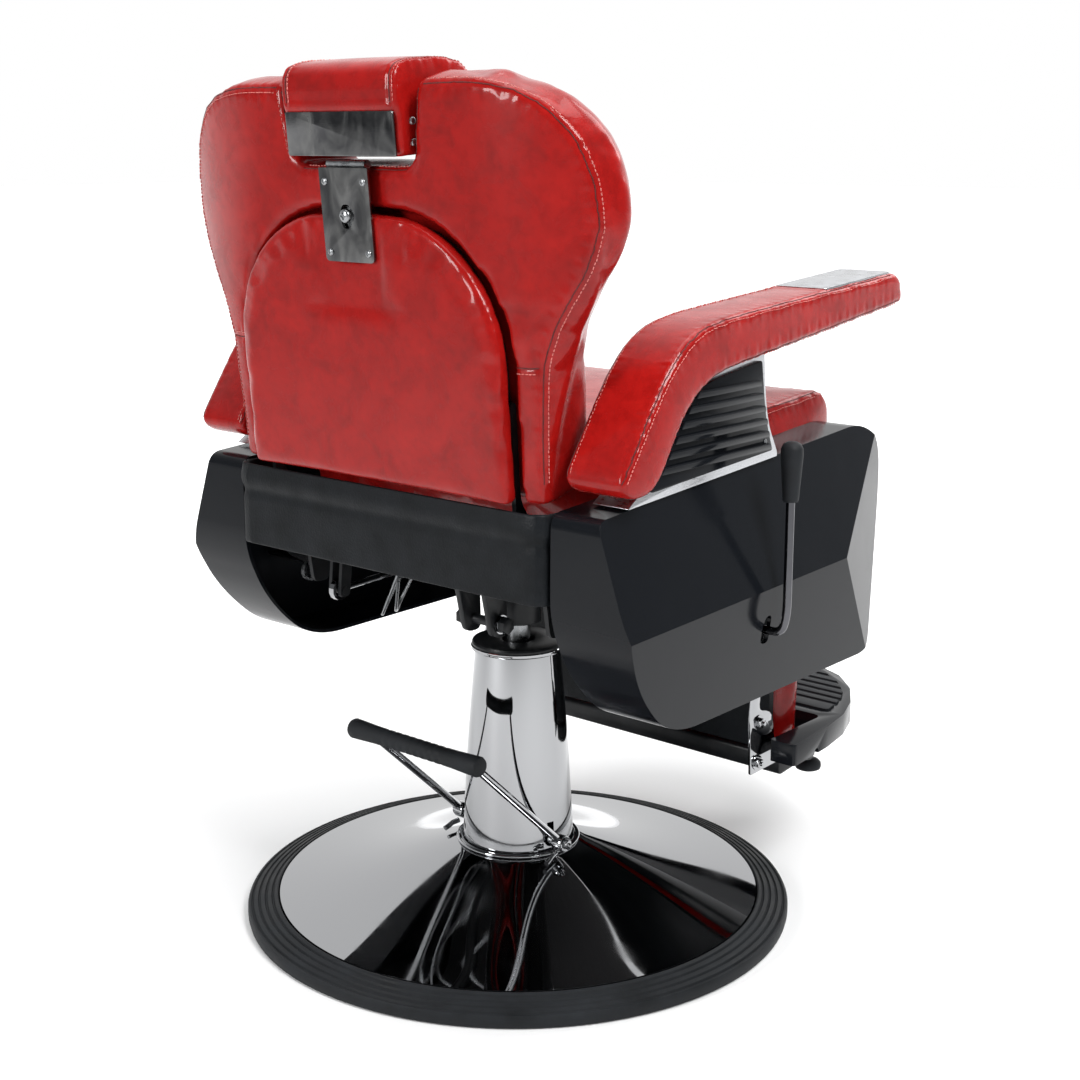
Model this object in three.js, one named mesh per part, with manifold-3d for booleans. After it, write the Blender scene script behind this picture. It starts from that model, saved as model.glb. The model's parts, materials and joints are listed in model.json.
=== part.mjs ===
// Hydraulic barber chair: a round base with a pump column, a swivelling seat unit
// between two faceted side panels, a reclining back with a sliding headrest, and a
// calf pad with a footrest that swings up as the back goes down.
//
// Millimetres, +Z up. The sitter faces -Y, and the sitter's left hand is on +X.
// The origin is on the column's axis, on the floor.

import * as THREE from 'three';
import { ConvexGeometry } from 'three/addons/geometries/ConvexGeometry.js';
import { mergeVertices } from 'three/addons/utils/BufferGeometryUtils.js';
import Module from 'manifold-3d';

const wasm = await Module();
wasm.setup();

// ---------------------------------------------------------------- driving sizes

const GAP = 0.5;                    // clearance between parts that touch
const DEG = Math.PI / 180;

const BASE = { ringRadius: 350, domeRadius: 310, rimZ: 27, collarZ: 86, collarRadius: 82 };
const PLATE = { radius: 286, thick: 12 };
const SLEEVE = { bottomRadius: 71.6, topRadius: 54, bottomZ: 88, topZ: 346, wall: 2.5 };
const PUMP = { radius: 36, topZ: 330, boreZ: 128, ramRadius: 16, ramTopZ: 412 };
const LEVER = {
  pivotY: 15, pivotZ: 105, side: 85, rod: 5,
  eye: 10, bendY: 172, bendZ: 250, barY: 186, barZ: 259, barHalf: 100, gripHalf: 108,
  gripRadius: 12.5,
};

const FRAME = {
  railIn: 236, railOut: 246, railBottomZ: 428, railTopZ: 470,
  railFrontY: -300, railRearY: 160, crossY: 90, crossZ: 454,
};
const HUB = { radius: 40, bottomZ: 378, topZ: 442.5 };
const MOUNT = { half: 110, thick: 10.5, bottomZ: 443 };

const HINGE = { y: 155, z: 475, pin: 7 };            // back hinge, across the chair
const LEG_PIVOT = { y: -285, z: 445, pin: 6 };       // calf pad swing, across the chair
const FOOT_PIVOT = { y: -283, z: 188, pin: 5 };      // footrest tilt, across the chair

const PANEL = {
  inner: 250, crease: 356, rearTop: 294, frontTop: 302, rearFoot: 334, frontFoot: 331, wall: 5,
};
const SLOT = { y: -38, z: 422, width: 15, height: 34 };
const RECLINE_LEVER = { x: 375, rod: 5, topZ: 640, gripBottomZ: 576, bendZ: 451 };

const ARM = { inner: 257, outer: 343, bevel: 6, margin: 8 };
const PLATE_LET = {                 // plate let into the armrest, level before it is tipped
  front: -306, rear: -160, bottomZ: 804.5, thick: 3.5, pivotY: -233, pivotZ: 808.3, slope: 4.5,
};
const SEAT = { half: 243, frontY: -345, rearY: 126, bottomZ: 505, topZ: 648, tilt: 4.1 };

const BACK = { y: 236, z: 586, lean: 5.03, thick: 98, top: 446, notchFloor: 357 };
const COVER = { half: 206, bottom: 2, shoulder: 165, top: 308, proud: 10, deep: 10 };
const HEADREST = { half: 90, bottom: 367, split: 419, top: 470, rear: 10, front: -112 };

const CALF = { half: 222, frontY: -318, rearY: -260, bottomZ: 182, topZ: 400 };
const CALF_PLATE = { in: 228, out: 231 };
const TREAD = { topZ: 215, bottomZ: 186, frontY: -548, rearY: -221, half: 277, cutY: -345 };
const FOOT = { x: 200, y: -379, bottomZ: 121 };

const RECLINE_STRUT = {
  x: 150, backY: 165, backZ: 425, frameY: -90, frameZ: 436, pin: 5, play: 4.5,
};
const LEG_LINK = { x: 214, backY: 155, backZ: 437, legY: -285, legZ: 414, pin: 5, play: 5 };

// -------------------------------------------------------------------- materials

const finish = (color, roughness, metalness) => ({ color, roughness, metalness });
const CHROME = finish(0xd8dade, 0.08, 1.0);
const POLISHED = finish(0xc9cbcc, 0.2, 1.0);
const ALLOY = finish(0xb9bcc0, 0.3, 0.9);
const BLACK_STEEL = finish(0x15161a, 0.4, 0.6);
const BARE_STEEL = finish(0x6c6f73, 0.35, 0.9);
const GLOSS_BLACK = finish(0x0c0d10, 0.12, 0.0);
const RUBBER = finish(0x2b2d30, 0.75, 0.0);
const RED_LEATHER = finish(0xa81512, 0.25, 0.0);
const BLACK_LEATHER = finish(0x191b1e, 0.55, 0.0);
const DUST_COVER = finish(0x131416, 0.9, 0.0);

// ------------------------------------------------------------- geometry helpers

// One closed manifold-3d solid from a three.js geometry, turned outward if need be.
function solid(geometry) {
  const g = geometry.clone();
  g.deleteAttribute('normal');
  g.deleteAttribute('uv');
  const merged = mergeVertices(g, 1e-4);
  const mesh = new wasm.Mesh({
    numProp: 3,
    vertProperties: new Float32Array(merged.attributes.position.array),
    triVerts: new Uint32Array(merged.index.array),
  });
  const made = new wasm.Manifold(mesh);
  if (made.volume() > 0) return made;
  for (let i = 0; i < mesh.triVerts.length; i += 3) {
    const first = mesh.triVerts[i];
    mesh.triVerts[i] = mesh.triVerts[i + 1];
    mesh.triVerts[i + 1] = first;
  }
  return new wasm.Manifold(mesh);
}

function join(...solids) {
  return solids.reduce((sum, next) => sum.add(next));
}

function box(x0, x1, y0, y1, z0, z1) {
  const g = new THREE.BoxGeometry(x1 - x0, y1 - y0, z1 - z0);
  g.translate((x0 + x1) / 2, (y0 + y1) / 2, (z0 + z1) / 2);
  return solid(g);
}

// A straight round bar between two points.
function bar(from, to, radius, segments = 14) {
  const a = new THREE.Vector3(...from);
  const b = new THREE.Vector3(...to);
  const way = b.clone().sub(a);
  const g = new THREE.CylinderGeometry(radius, radius, way.length(), segments);
  const turn = new THREE.Quaternion().setFromUnitVectors(
    new THREE.Vector3(0, 1, 0), way.clone().normalize());
  g.applyQuaternion(turn);
  g.translate(...a.add(b).multiplyScalar(0.5).toArray());
  return solid(g);
}

// A round bar bent along points, with rounded corners.
function bentBar(points, radius, cornerRadius, segments = 10) {
  const path = new THREE.CurvePath();
  const v = points.map((p) => new THREE.Vector3(...p));
  let from = v[0];
  for (let i = 1; i < v.length - 1; i += 1) {
    const back = v[i - 1].clone().sub(v[i]).setLength(cornerRadius).add(v[i]);
    const ahead = v[i + 1].clone().sub(v[i]).setLength(cornerRadius).add(v[i]);
    path.add(new THREE.LineCurve3(from, back));
    path.add(new THREE.QuadraticBezierCurve3(back, v[i], ahead));
    from = ahead;
  }
  path.add(new THREE.LineCurve3(from, v[v.length - 1]));
  const ring = new THREE.Shape().absarc(0, 0, radius, 0, Math.PI * 2);
  const g = new THREE.ExtrudeGeometry(ring, {
    steps: 6 * (v.length - 1), curveSegments: segments, bevelEnabled: false, extrudePath: path,
  });
  return solid(g);
}

// A turned part about the vertical axis, from [radius, height] pairs.
function turned(profile, segments = 72) {
  const g = new THREE.LatheGeometry(profile.map(([r, z]) => new THREE.Vector2(r, z)), segments);
  g.rotateX(Math.PI / 2);
  return solid(g);
}

// A washer or disc about the vertical axis.
function disc(radius, z0, z1, hole = 0, segments = 48) {
  const profile = hole
    ? [[hole, z0], [radius, z0], [radius, z1], [hole, z1], [hole, z0]]
    : [[0, z0], [radius, z0], [radius, z1], [0, z1]];
  return turned(profile, segments);
}

// A polygon with rounded corners: [a, b, radius] for each corner. A radius is cut down
// where an edge is too short for it.
function rounded(corners) {
  const shape = new THREE.Shape();
  const count = corners.length;
  corners.forEach(([a, b, radius = 0], i) => {
    const here = new THREE.Vector2(a, b);
    const before = new THREE.Vector2(...corners[(i + count - 1) % count]);
    const after = new THREE.Vector2(...corners[(i + 1) % count]);
    const most = (way) => Math.min(radius, 0.48 * way.length());
    const toBack = before.sub(here);
    const toAhead = after.sub(here);
    const back = toBack.clone().setLength(most(toBack)).add(here);
    const ahead = toAhead.clone().setLength(most(toAhead)).add(here);
    if (i === 0) shape.moveTo(back.x, back.y);
    else shape.lineTo(back.x, back.y);
    if (radius > 0) shape.quadraticCurveTo(here.x, here.y, ahead.x, ahead.y);
  });
  shape.closePath();
  return shape;
}

function extruded(shape, depth, bevel = 0, curveSegments = 3) {
  const g = new THREE.ExtrudeGeometry(shape, {
    depth: depth - 2 * bevel,
    curveSegments,
    bevelEnabled: bevel > 0,
    bevelThickness: bevel,
    bevelSize: bevel,
    bevelOffset: -bevel,
    bevelSegments: 2,
  });
  g.translate(0, 0, bevel);
  return g;
}

// Outlines drawn in Y and Z and extruded along X, in X and Z along Y, or in X and Y along Z.
function alongX(shape, x0, x1, bevel = 0) {
  const g = extruded(shape, x1 - x0, bevel);
  g.applyMatrix4(new THREE.Matrix4().set(0, 0, 1, x0, 1, 0, 0, 0, 0, 1, 0, 0, 0, 0, 0, 1));
  return solid(g);
}

function alongY(shape, y0, y1, bevel = 0) {
  const g = extruded(shape, y1 - y0, bevel);
  g.rotateX(Math.PI / 2);
  g.translate(0, y1, 0);
  return solid(g);
}

function alongZ(shape, z0, z1, bevel = 0) {
  const g = extruded(shape, z1 - z0, bevel);
  g.translate(0, 0, z0);
  return solid(g);
}

// A box of many cells whose corners a rule moves: s and t across, h up, each 0 to 1.
function warped(cellsAcross, cellsDeep, cellsUp, rule) {
  const g = new THREE.BoxGeometry(1, 1, 1, cellsAcross, cellsDeep, cellsUp);
  const at = g.attributes.position;
  for (let i = 0; i < at.count; i += 1) {
    at.setXYZ(i, ...rule(at.getX(i) * 2, at.getY(i) + 0.5, at.getZ(i) + 0.5));
  }
  return solid(g);
}

// ------------------------------------------------------------------- scene graph

const chair = new THREE.Group();
chair.name = 'hydraulic_barber_chair';

function bodyGroup(name, parent, x = 0, y = 0, z = 0) {
  const group = new THREE.Group();
  group.name = name;
  group.position.set(x, y, z);
  parent.add(group);
  return group;
}

// Adds a part to a group. The solid is given in the chair's frame, unless the group
// is turned, as the back is: then it is given in the group's own frame.
function part(group, name, shape, look) {
  const raw = shape.getMesh();
  const g = new THREE.BufferGeometry();
  g.setAttribute('position', new THREE.BufferAttribute(new Float32Array(raw.vertProperties), 3));
  g.setIndex(new THREE.BufferAttribute(new Uint32Array(raw.triVerts), 1));
  if (group.rotation.x === 0) {
    g.translate(-group.position.x, -group.position.y, -group.position.z);
  }
  g.computeVertexNormals();
  const mesh = new THREE.Mesh(g, new THREE.MeshStandardMaterial(look));
  mesh.name = name;
  group.add(mesh);
}

// The same part on both sides; the shape is made for the sitter's left, +X.
function pair(group, name, shape, look) {
  part(group, `${name}_left`, shape, look);
  part(group, `${name}_right`, shape.mirror([1, 0, 0]), look);
}

const base = bodyGroup('base', chair);
const lift = bodyGroup('lift', chair);
const seat = bodyGroup('seat_unit', chair, 0, 0, HUB.bottomZ);
const leverGroup = bodyGroup('pump_lever_body', chair, 0, LEVER.pivotY, LEVER.pivotZ);
const reclineLeverGroup = bodyGroup('recline_lever_body', chair, 0, SLOT.y, SLOT.z);
const legrest = bodyGroup('legrest', chair, 0, LEG_PIVOT.y, LEG_PIVOT.z);
const footrest = bodyGroup('footrest', chair, 0, FOOT_PIVOT.y, FOOT_PIVOT.z);
const back = bodyGroup('backrest', chair, 0, BACK.y, BACK.z);
back.rotation.x = -BACK.lean * DEG;

// -------------------------------------------------------------------------- base

// Stepped rubber ring that the chair stands on.
function rubberRing() {
  const profile = [[300, 0], [345, 0], [350, 6], [350, 13]];
  const steps = 3;
  for (let i = 0; i < steps; i += 1) {
    const r = 346 - i * 10;
    const z = 16 + i * 3.6;
    profile.push([r, z], [r - 3, z - 2], [r - 5, z]);
  }
  profile.push([BASE.domeRadius + 3, BASE.rimZ], [BASE.domeRadius + GAP, BASE.rimZ - 2]);
  profile.push([BASE.domeRadius + GAP, 18], [300, 18], [300, 0]);
  return turned(profile, 64);
}

// Spun chrome dome, a shell that flares from the collar down to the ring.
function dome() {
  const wall = 3;
  const rings = 5;
  const outer = [];
  for (let i = 0; i <= rings; i += 1) {
    const t = i / rings;
    const r = BASE.domeRadius + (BASE.collarRadius - BASE.domeRadius) * t;
    const straight = BASE.rimZ + (BASE.collarZ - BASE.rimZ) * t;
    outer.push([r, straight - 7 * Math.sin(Math.PI * t)]);
  }
  const rim = [[BASE.domeRadius, 18 + GAP]];
  const inner = outer.map(([r, z]) => [r - 1, z - wall]).reverse();
  inner[inner.length - 1] = [BASE.domeRadius - wall, 18 + GAP];
  const profile = [...rim, ...outer, [77, BASE.collarZ + 1], [77, BASE.collarZ - 3], ...inner];
  return turned([...profile, rim[0]], 64);
}

function pumpCylinder() {
  const { radius, topZ, boreZ, ramRadius } = PUMP;
  const foot = PLATE.thick + GAP;
  const bore = ramRadius + GAP;
  const body = turned([
    [0, foot], [62, foot], [62, foot + 8], [radius, foot + 8], [radius, topZ],
    [bore, topZ], [bore, boreZ], [0, boreZ],
  ], 24);
  const { pivotY, pivotZ, rod } = LEVER;
  const shaftHole = bar([-60, pivotY, pivotZ], [60, pivotY, pivotZ], rod + 1 + GAP);
  return body.subtract(shaftHole);
}

// Beaded collar round the foot of the sleeve.
function baseCollar() {
  const { collarZ } = BASE;
  return turned([
    [66, collarZ - 2], [76, collarZ - 2], [76, collarZ + 1.5], [79, collarZ + 1.5],
    [80, collarZ + 3.5], [78, collarZ + 5.5], [75, collarZ + 6], [72.5, collarZ + 5],
    [72.5, collarZ + 1.5], [66, collarZ + 1.5], [66, collarZ - 2],
  ], 48);
}

// Radius of the column sleeve at a height: a gentle convex taper.
function sleeveRadius(t) {
  const { bottomRadius, topRadius } = SLEEVE;
  return bottomRadius + (topRadius - bottomRadius) * t + 1.6 * Math.sin(Math.PI * t);
}

function columnSleeve() {
  const { bottomZ, topZ, wall } = SLEEVE;
  const rings = 4;
  const outer = [];
  for (let i = 0; i <= rings; i += 1) {
    outer.push([sleeveRadius(i / rings), bottomZ + (topZ - bottomZ) * (i / rings)]);
  }
  const inner = outer.map(([r, z]) => [r - wall, z]).reverse();
  const shell = turned([...outer, ...inner, outer[0]], 48);
  const { pivotY, pivotZ } = LEVER;
  const keyhole = bar([-95, pivotY, pivotZ], [95, pivotY, pivotZ], 9)
    .add(box(-95, 95, pivotY - 5, pivotY + 5, pivotZ, pivotZ + 22));
  return shell.subtract(keyhole);
}

function sleeveCap() {
  const { topRadius, topZ } = SLEEVE;
  return turned([
    [PUMP.ramRadius + 2, topZ + GAP], [topRadius + 3, topZ + GAP], [topRadius + 4, topZ + 3],
    [topRadius + 2, topZ + 7], [PUMP.ramRadius + 2, topZ + 8], [PUMP.ramRadius + 2, topZ + GAP],
  ], 40);
}

part(base, 'base_rubber_ring', rubberRing(), RUBBER);
part(base, 'base_dome', dome(), CHROME);
part(base, 'base_weight_plate', disc(PLATE.radius, 0, PLATE.thick, 0, 40), BLACK_STEEL);
part(base, 'pump_cylinder', pumpCylinder(), BARE_STEEL);
part(base, 'base_collar', baseCollar(), CHROME);
part(base, 'column_sleeve', columnSleeve(), CHROME);
part(base, 'sleeve_cap', sleeveCap(), BLACK_STEEL);
part(lift, 'pump_ram', disc(PUMP.ramRadius, PUMP.boreZ + 2, PUMP.ramTopZ, 0, 24), BARE_STEEL);

// ------------------------------------------------------------------- pump lever

// The lever's round bar, bent to a U from pivot to pivot.
function leverBar(radius) {
  const { side, pivotY, pivotZ, bendY, bendZ, barY, barZ, barHalf } = LEVER;
  return bentBar([
    [-side, pivotY, pivotZ], [-side, bendY, bendZ], [-barHalf, barY, barZ],
    [barHalf, barY, barZ], [side, bendY, bendZ], [side, pivotY, pivotZ],
  ], radius, 9);
}

// U-shaped chrome lever with an eye at each pivot.
function pumpLever() {
  const { side, pivotY, pivotZ, rod, eye } = LEVER;
  const eyes = [-1, 1].map((s) => bar(
    [s * (side - 7), pivotY, pivotZ], [s * (side + 7), pivotY, pivotZ], eye));
  const bore = bar([-110, pivotY, pivotZ], [110, pivotY, pivotZ], rod + 1 + GAP);
  return join(leverBar(rod), ...eyes).subtract(bore);
}

function leverShaft() {
  const { side, pivotY, pivotZ, rod } = LEVER;
  const reach = side + 12;
  return bar([-reach, pivotY, pivotZ], [reach, pivotY, pivotZ], rod + 1);
}

// Moulded rubber grip over the whole crossbar, a little thicker at its ends.
function leverGrip() {
  const { barY, barZ, gripHalf, gripRadius, rod } = LEVER;
  const waist = gripRadius - 1.5;
  const profile = [
    [0, -gripHalf], [gripRadius - 3, -gripHalf], [gripRadius, -gripHalf + 5],
    [waist, -gripHalf + 40], [waist, gripHalf - 40], [gripRadius, gripHalf - 5],
    [gripRadius - 3, gripHalf], [0, gripHalf],
  ];
  const grip = turned(profile, 20).rotate([0, 90, 0]).translate([0, barY, barZ]);
  return grip.subtract(leverBar(rod + GAP)).subtract(leverBar(rod));
}

part(leverGroup, 'pump_lever', pumpLever(), CHROME);
part(leverGroup, 'pump_lever_shaft', leverShaft(), BARE_STEEL);
part(leverGroup, 'pump_lever_grip', leverGrip(), RUBBER);

// -------------------------------------------------------------------- seat frame

function swivelHub() {
  const { radius, bottomZ, topZ } = HUB;
  const bore = PUMP.ramRadius + GAP;
  return turned([
    [bore, bottomZ], [radius - 10, bottomZ], [radius - 10, topZ - 24], [radius, topZ - 16],
    [radius, topZ], [0, topZ], [0, PUMP.ramTopZ + GAP], [bore, PUMP.ramTopZ + GAP],
    [bore, bottomZ],
  ], 24);
}

// Plate bolted under the frame, with a welded clevis and its bolt at the rear.
function mountPlate() {
  const { half, thick, bottomZ } = MOUNT;
  const c = 14;
  const plate = rounded([
    [-half, -half, c], [half, -half, c], [half, half, c], [-half, half, c],
  ]);
  const cheek = rounded([
    [50, bottomZ + 2, 1], [48, 374, 10], [74, 374, 10], [90, bottomZ + 2, 1],
  ]);
  const cheeks = [-26, 18].map((x) => alongX(cheek, x, x + 8));
  const bolt = bar([-40, 61, 390], [40, 61, 390], 6);
  const heads = [-40, 30].map((x) => bar([x, 61, 390], [x + 10, 61, 390], 11, 6));
  return join(alongZ(plate, bottomZ, bottomZ + thick), ...cheeks, bolt, ...heads);
}

// Side rail with the hinge hole, the stub pin of the calf pad and a side panel bracket.
function frameRail() {
  const { railIn, railOut, railBottomZ, railTopZ, railFrontY, railRearY } = FRAME;
  const rail = rounded([
    [railFrontY - 12, railBottomZ, 10], [railRearY - 40, railBottomZ, 10],
    [HINGE.y + 18, HINGE.z - 14, 12], [HINGE.y + 18, HINGE.z + 12, 12],
    [HINGE.y - 20, HINGE.z + 16, 12], [HINGE.y - 50, railTopZ, 10],
    [railFrontY - 12, railTopZ, 10],
  ]);
  const hingeHole = bar([railIn - 5, HINGE.y, HINGE.z], [railOut + 5, HINGE.y, HINGE.z], HINGE.pin + GAP);
  const { y, z, pin } = LEG_PIVOT;
  const stub = join(
    bar([railIn - 13, y, z], [railIn + 1, y, z], pin),
    bar([railIn - 13, y, z], [railIn - 9, y, z], pin + 4, 6),
  );
  const stay = box(railOut - 1, PANEL.crease - PANEL.wall - 14, 90, 120, 432, 436);
  return join(alongX(rail, railIn, railOut).subtract(hingeHole), stub, stay);
}

// Square tube across the frame, open at its ends.
function crossTube(y) {
  const { railIn, crossZ } = FRAME;
  const end = railIn - GAP;
  const outer = box(-end, end, y - 12, y + 12, crossZ, crossZ + 18);
  return outer.subtract(box(-end - 5, end + 5, y - 9.5, y + 9.5, crossZ + 2.5, crossZ + 15.5));
}

function pivotPin({ y, z, pin }, from, to) {
  return join(bar([from, y, z], [to, y, z], pin), bar([to - 5, y, z], [to, y, z], pin + 4, 6));
}

part(seat, 'swivel_hub', swivelHub(), BLACK_STEEL);
part(seat, 'mount_plate', mountPlate(), BLACK_STEEL);
pair(seat, 'frame_rail', frameRail(), BLACK_STEEL);
part(seat, 'cross_tube_front', crossTube(-FRAME.crossY).add(strutAnchor()), BLACK_STEEL);
part(seat, 'cross_tube_rear', crossTube(FRAME.crossY), BLACK_STEEL);

// ------------------------------------------------------------------- side panels

// Side outline of a panel, moved inward by a distance.
function panelOutline(inset) {
  const d = inset;
  return rounded([
    [228 - d, 587 - d, 16], [-304 + d, 626 - d, 34], [-346 + d, 592 - d, 24],
    [-349 + d, 545, 60], [-297 + d, 337 + d, 26],
    [126, 333 + d, 55], [196 - d, 398, 55], [229 - d, 470, 30],
  ]);
}

// Panel body: the outline's prism, cut to two long facets and a slanted front facet.
function panelBody(inset) {
  const { crease, rearTop, frontTop, rearFoot, frontFoot } = PANEL;
  const x = (value) => value - inset;
  const inner = PANEL.inner - (inset ? 12 : 0);
  const corners = [
    [x(rearTop), 240, 640], [x(frontTop), -357, 640],
    [x(crease), 240, 462], [x(crease), -197, 479],
    [x(rearFoot), 240, 325], [x(frontFoot), -300, 325],
    [inner, 262, 640], [inner, -530, 640], [inner, 262, 325], [inner, -569, 325],
  ].map((p) => new THREE.Vector3(...p));
  const hull = solid(new ConvexGeometry(corners));
  return hull.intersect(alongX(panelOutline(inset), inner, crease + 10));
}

function sidePanel() {
  return panelBody(0).subtract(panelBody(PANEL.wall));
}

// Kidney-shaped opening for the recline lever, only on the sitter's right.
function leverSlot() {
  const { y, z, width, height } = SLOT;
  const shape = rounded([
    [y - width / 2, z - height / 2, 7], [y + width / 2, z - height / 2, 7],
    [y + width / 2, z + height / 2, 7], [y - width / 2, z + height / 2, 7],
  ]);
  return alongX(shape, -400, -300);
}

part(seat, 'side_panel_left', sidePanel(), GLOSS_BLACK);
part(seat, 'side_panel_right', sidePanel().mirror([1, 0, 0]).subtract(leverSlot()), GLOSS_BLACK);

// --------------------------------------------------------------------- armrests

// Boomerang outline of the padded armrest.
function armrestPad() {
  const { inner, outer, bevel, margin } = ARM;
  const outline = rounded([
    [-318, 815, 18], [88, 783, 60], [146, 744, 50], [228, 622, 20],
    [196, 602, 18], [158, 616, 20], [104, 700, 40], [58, 724, 40], [-342, 774, 18],
  ]);
  const recess = tippedArm(box(
    inner + margin - 1, outer - margin + 1, PLATE_LET.front - 1, PLATE_LET.rear + 1,
    PLATE_LET.bottomZ - GAP, 830));
  return alongX(outline, inner, outer, bevel).subtract(recess);
}

// Tips a level solid to the slope of the armrest's top.
function tippedArm(shape) {
  const { slope, pivotY, pivotZ } = PLATE_LET;
  return shape.translate([0, -pivotY, -pivotZ]).rotate([-slope, 0, 0])
    .translate([0, pivotY, pivotZ]);
}

// Polished plate let into the front of the armrest.
function armrestPlate() {
  const { inner, outer, margin } = ARM;
  const { front, rear, bottomZ, thick } = PLATE_LET;
  const outline = rounded([
    [inner + margin, front, 4], [outer - margin, front, 4],
    [outer - margin, rear, 4], [inner + margin, rear, 4],
  ]);
  return tippedArm(alongZ(outline, bottomZ, bottomZ + thick));
}

// Alloy support between the panel's top and the pad.
function armrestSupport() {
  const outline = rounded([
    [-66, 737.5, 2], [-74, 660, 40], [-98, 618, 4], [-98, 612.5, 1],
    [182, 592.8, 4], [156, 609.5, 8], [100, 695, 36], [54, 722, 30],
  ]);
  return alongX(outline, 268, 316);
}

// Black insert with six ridges on the outside of the support.
function armrestInsert() {
  const outline = rounded([
    [-56, 728, 4], [-66, 662, 30], [-82, 622, 4], [148, 606, 6], [94, 692, 30], [50, 714, 26],
  ]);
  const plate = alongX(outline, 316.5, 320);
  const ridges = [];
  for (let i = 0; i < 6; i += 1) {
    const z = 626 + i * 15;
    ridges.push(box(319, 324, -90, 200, z, z + 8));
  }
  return plate.add(join(...ridges).intersect(alongX(outline, 319, 325)));
}

pair(seat, 'armrest_pad', armrestPad(), RED_LEATHER);
pair(seat, 'armrest_plate', armrestPlate(), POLISHED);
pair(seat, 'armrest_support', armrestSupport(), ALLOY);
pair(seat, 'armrest_insert', armrestInsert(), GLOSS_BLACK);

// -------------------------------------------------------------------------- seat

// Seat parts are drawn level and tipped up to the front about the cushion's middle.
function tippedSeat(shape) {
  const middleZ = (SEAT.bottomZ + SEAT.topZ) / 2;
  return shape.translate([0, 100, -middleZ]).rotate([-SEAT.tilt, 0, 0])
    .translate([0, -100, middleZ]);
}

function seatCushion() {
  const { half, frontY, rearY, bottomZ, topZ } = SEAT;
  const outline = rounded([
    [rearY, bottomZ, 20], [rearY, topZ, 26], [frontY, topZ, 44], [frontY, bottomZ, 24],
  ]);
  return tippedSeat(alongX(outline, -half, half, 8));
}

function seatBoard() {
  const { half, frontY, rearY, bottomZ } = SEAT;
  const plan = rounded([
    [-half + 8, frontY + 12, 20], [half - 8, frontY + 12, 20],
    [half - 8, rearY - 6, 20], [-half + 8, rearY - 6, 20],
  ]);
  return tippedSeat(alongZ(plan, bottomZ - 15 - GAP, bottomZ - GAP));
}

part(seat, 'seat_cushion', seatCushion(), RED_LEATHER);
part(seat, 'seat_board', seatBoard(), DUST_COVER);

// ------------------------------------------------------------------ recline lever

function reclineLever() {
  const { x, rod, topZ, bendZ } = RECLINE_LEVER;
  const { y, z } = SLOT;
  return bentBar([
    [-226, y, z], [-x + 12, y, z], [-x, y, bendZ], [-x, y, topZ - 12],
  ], rod, 10, 8);
}

function reclineLeverGrip() {
  const { x, rod, topZ, gripBottomZ } = RECLINE_LEVER;
  const hole = rod + GAP;
  const grip = turned([
    [hole, gripBottomZ], [9, gripBottomZ], [10, gripBottomZ + 6], [13, topZ - 10],
    [10, topZ + 2], [0, topZ + 4], [0, topZ - 8], [hole, topZ - 8], [hole, gripBottomZ],
  ], 20);
  return grip.translate([-x, SLOT.y, 0]);
}

part(reclineLeverGroup, 'recline_lever', reclineLever(), BLACK_STEEL);
part(reclineLeverGroup, 'recline_lever_grip', reclineLeverGrip(), RUBBER);

// --------------------------------------------------------------- recline linkage

// Gas strut that holds the back: a tube on the frame and a rod on the back.
function strutPoint(along, offset = 0) {
  const { x, backY, backZ, frameY, frameZ } = RECLINE_STRUT;
  const length = Math.hypot(backY - frameY, backZ - frameZ);
  const t = along / length;
  return [x, frameY + (backY - frameY) * t, frameZ + (backZ - frameZ) * t + offset];
}

function strutTube() {
  const { x, frameY, frameZ } = RECLINE_STRUT;
  const tube = join(bar(strutPoint(0), strutPoint(20), 4.5), bar(strutPoint(14), strutPoint(150), 11));
  const bore = bar(strutPoint(30), strutPoint(155), 6);
  const eye = bar([x - 5, frameY, frameZ], [x + 5, frameY, frameZ], 11);
  const hole = bar([x - 8, frameY, frameZ], [x + 8, frameY, frameZ], 4 + GAP);
  return join(tube, eye).subtract(bore).subtract(hole);
}

function strutRod() {
  const { x, backY, backZ, frameY, frameZ, pin, play } = RECLINE_STRUT;
  const length = Math.hypot(backY - frameY, backZ - frameZ);
  const eye = bar([x - 4, backY, backZ], [x + 4, backY, backZ], pin + play + 4);
  const hole = bar([x - 8, backY, backZ], [x + 8, backY, backZ], pin + play);
  return join(bar(strutPoint(75), strutPoint(length - 4), 4), eye).subtract(hole);
}

// Lug and pin that hang the strut from the front cross tube.
function strutAnchor() {
  const { x, frameY, frameZ } = RECLINE_STRUT;
  const top = FRAME.crossZ + 1;
  const cheeks = [x - 11, x + 6].map((from) => box(from, from + 5, frameY - 9, frameY + 9, frameZ - 9, top));
  return join(...cheeks, bar([x - 13, frameY, frameZ], [x + 13, frameY, frameZ], 4));
}

// Push rod from the back to the calf pad's arm.
function legLink() {
  const { x, backY, backZ, legY, legZ, pin, play } = LEG_LINK;
  const ends = [[backY, backZ], [legY, legZ]];
  const eyes = ends.map(([y, z]) => bar([x - 3, y, z], [x + 3, y, z], pin + play + 3));
  const holes = ends.map(([y, z]) => bar([x - 6, y, z], [x + 6, y, z], pin + play));
  const rod = bar([x, backY, backZ], [x, legY, legZ], 4);
  return join(rod, ...eyes).subtract(join(...holes));
}

part(bodyGroup('recline_tube_body', chair), 'strut_tube', strutTube(), BLACK_STEEL);
part(bodyGroup('recline_rod_body', chair), 'strut_rod', strutRod(), CHROME);
pair(bodyGroup('leg_link_body', chair), 'leg_link', legLink(), BARE_STEEL);

// --------------------------------------------------------------------- backrest
// The back's own frame: X across, Y rearward from the rear surface, Z up the back.

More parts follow.
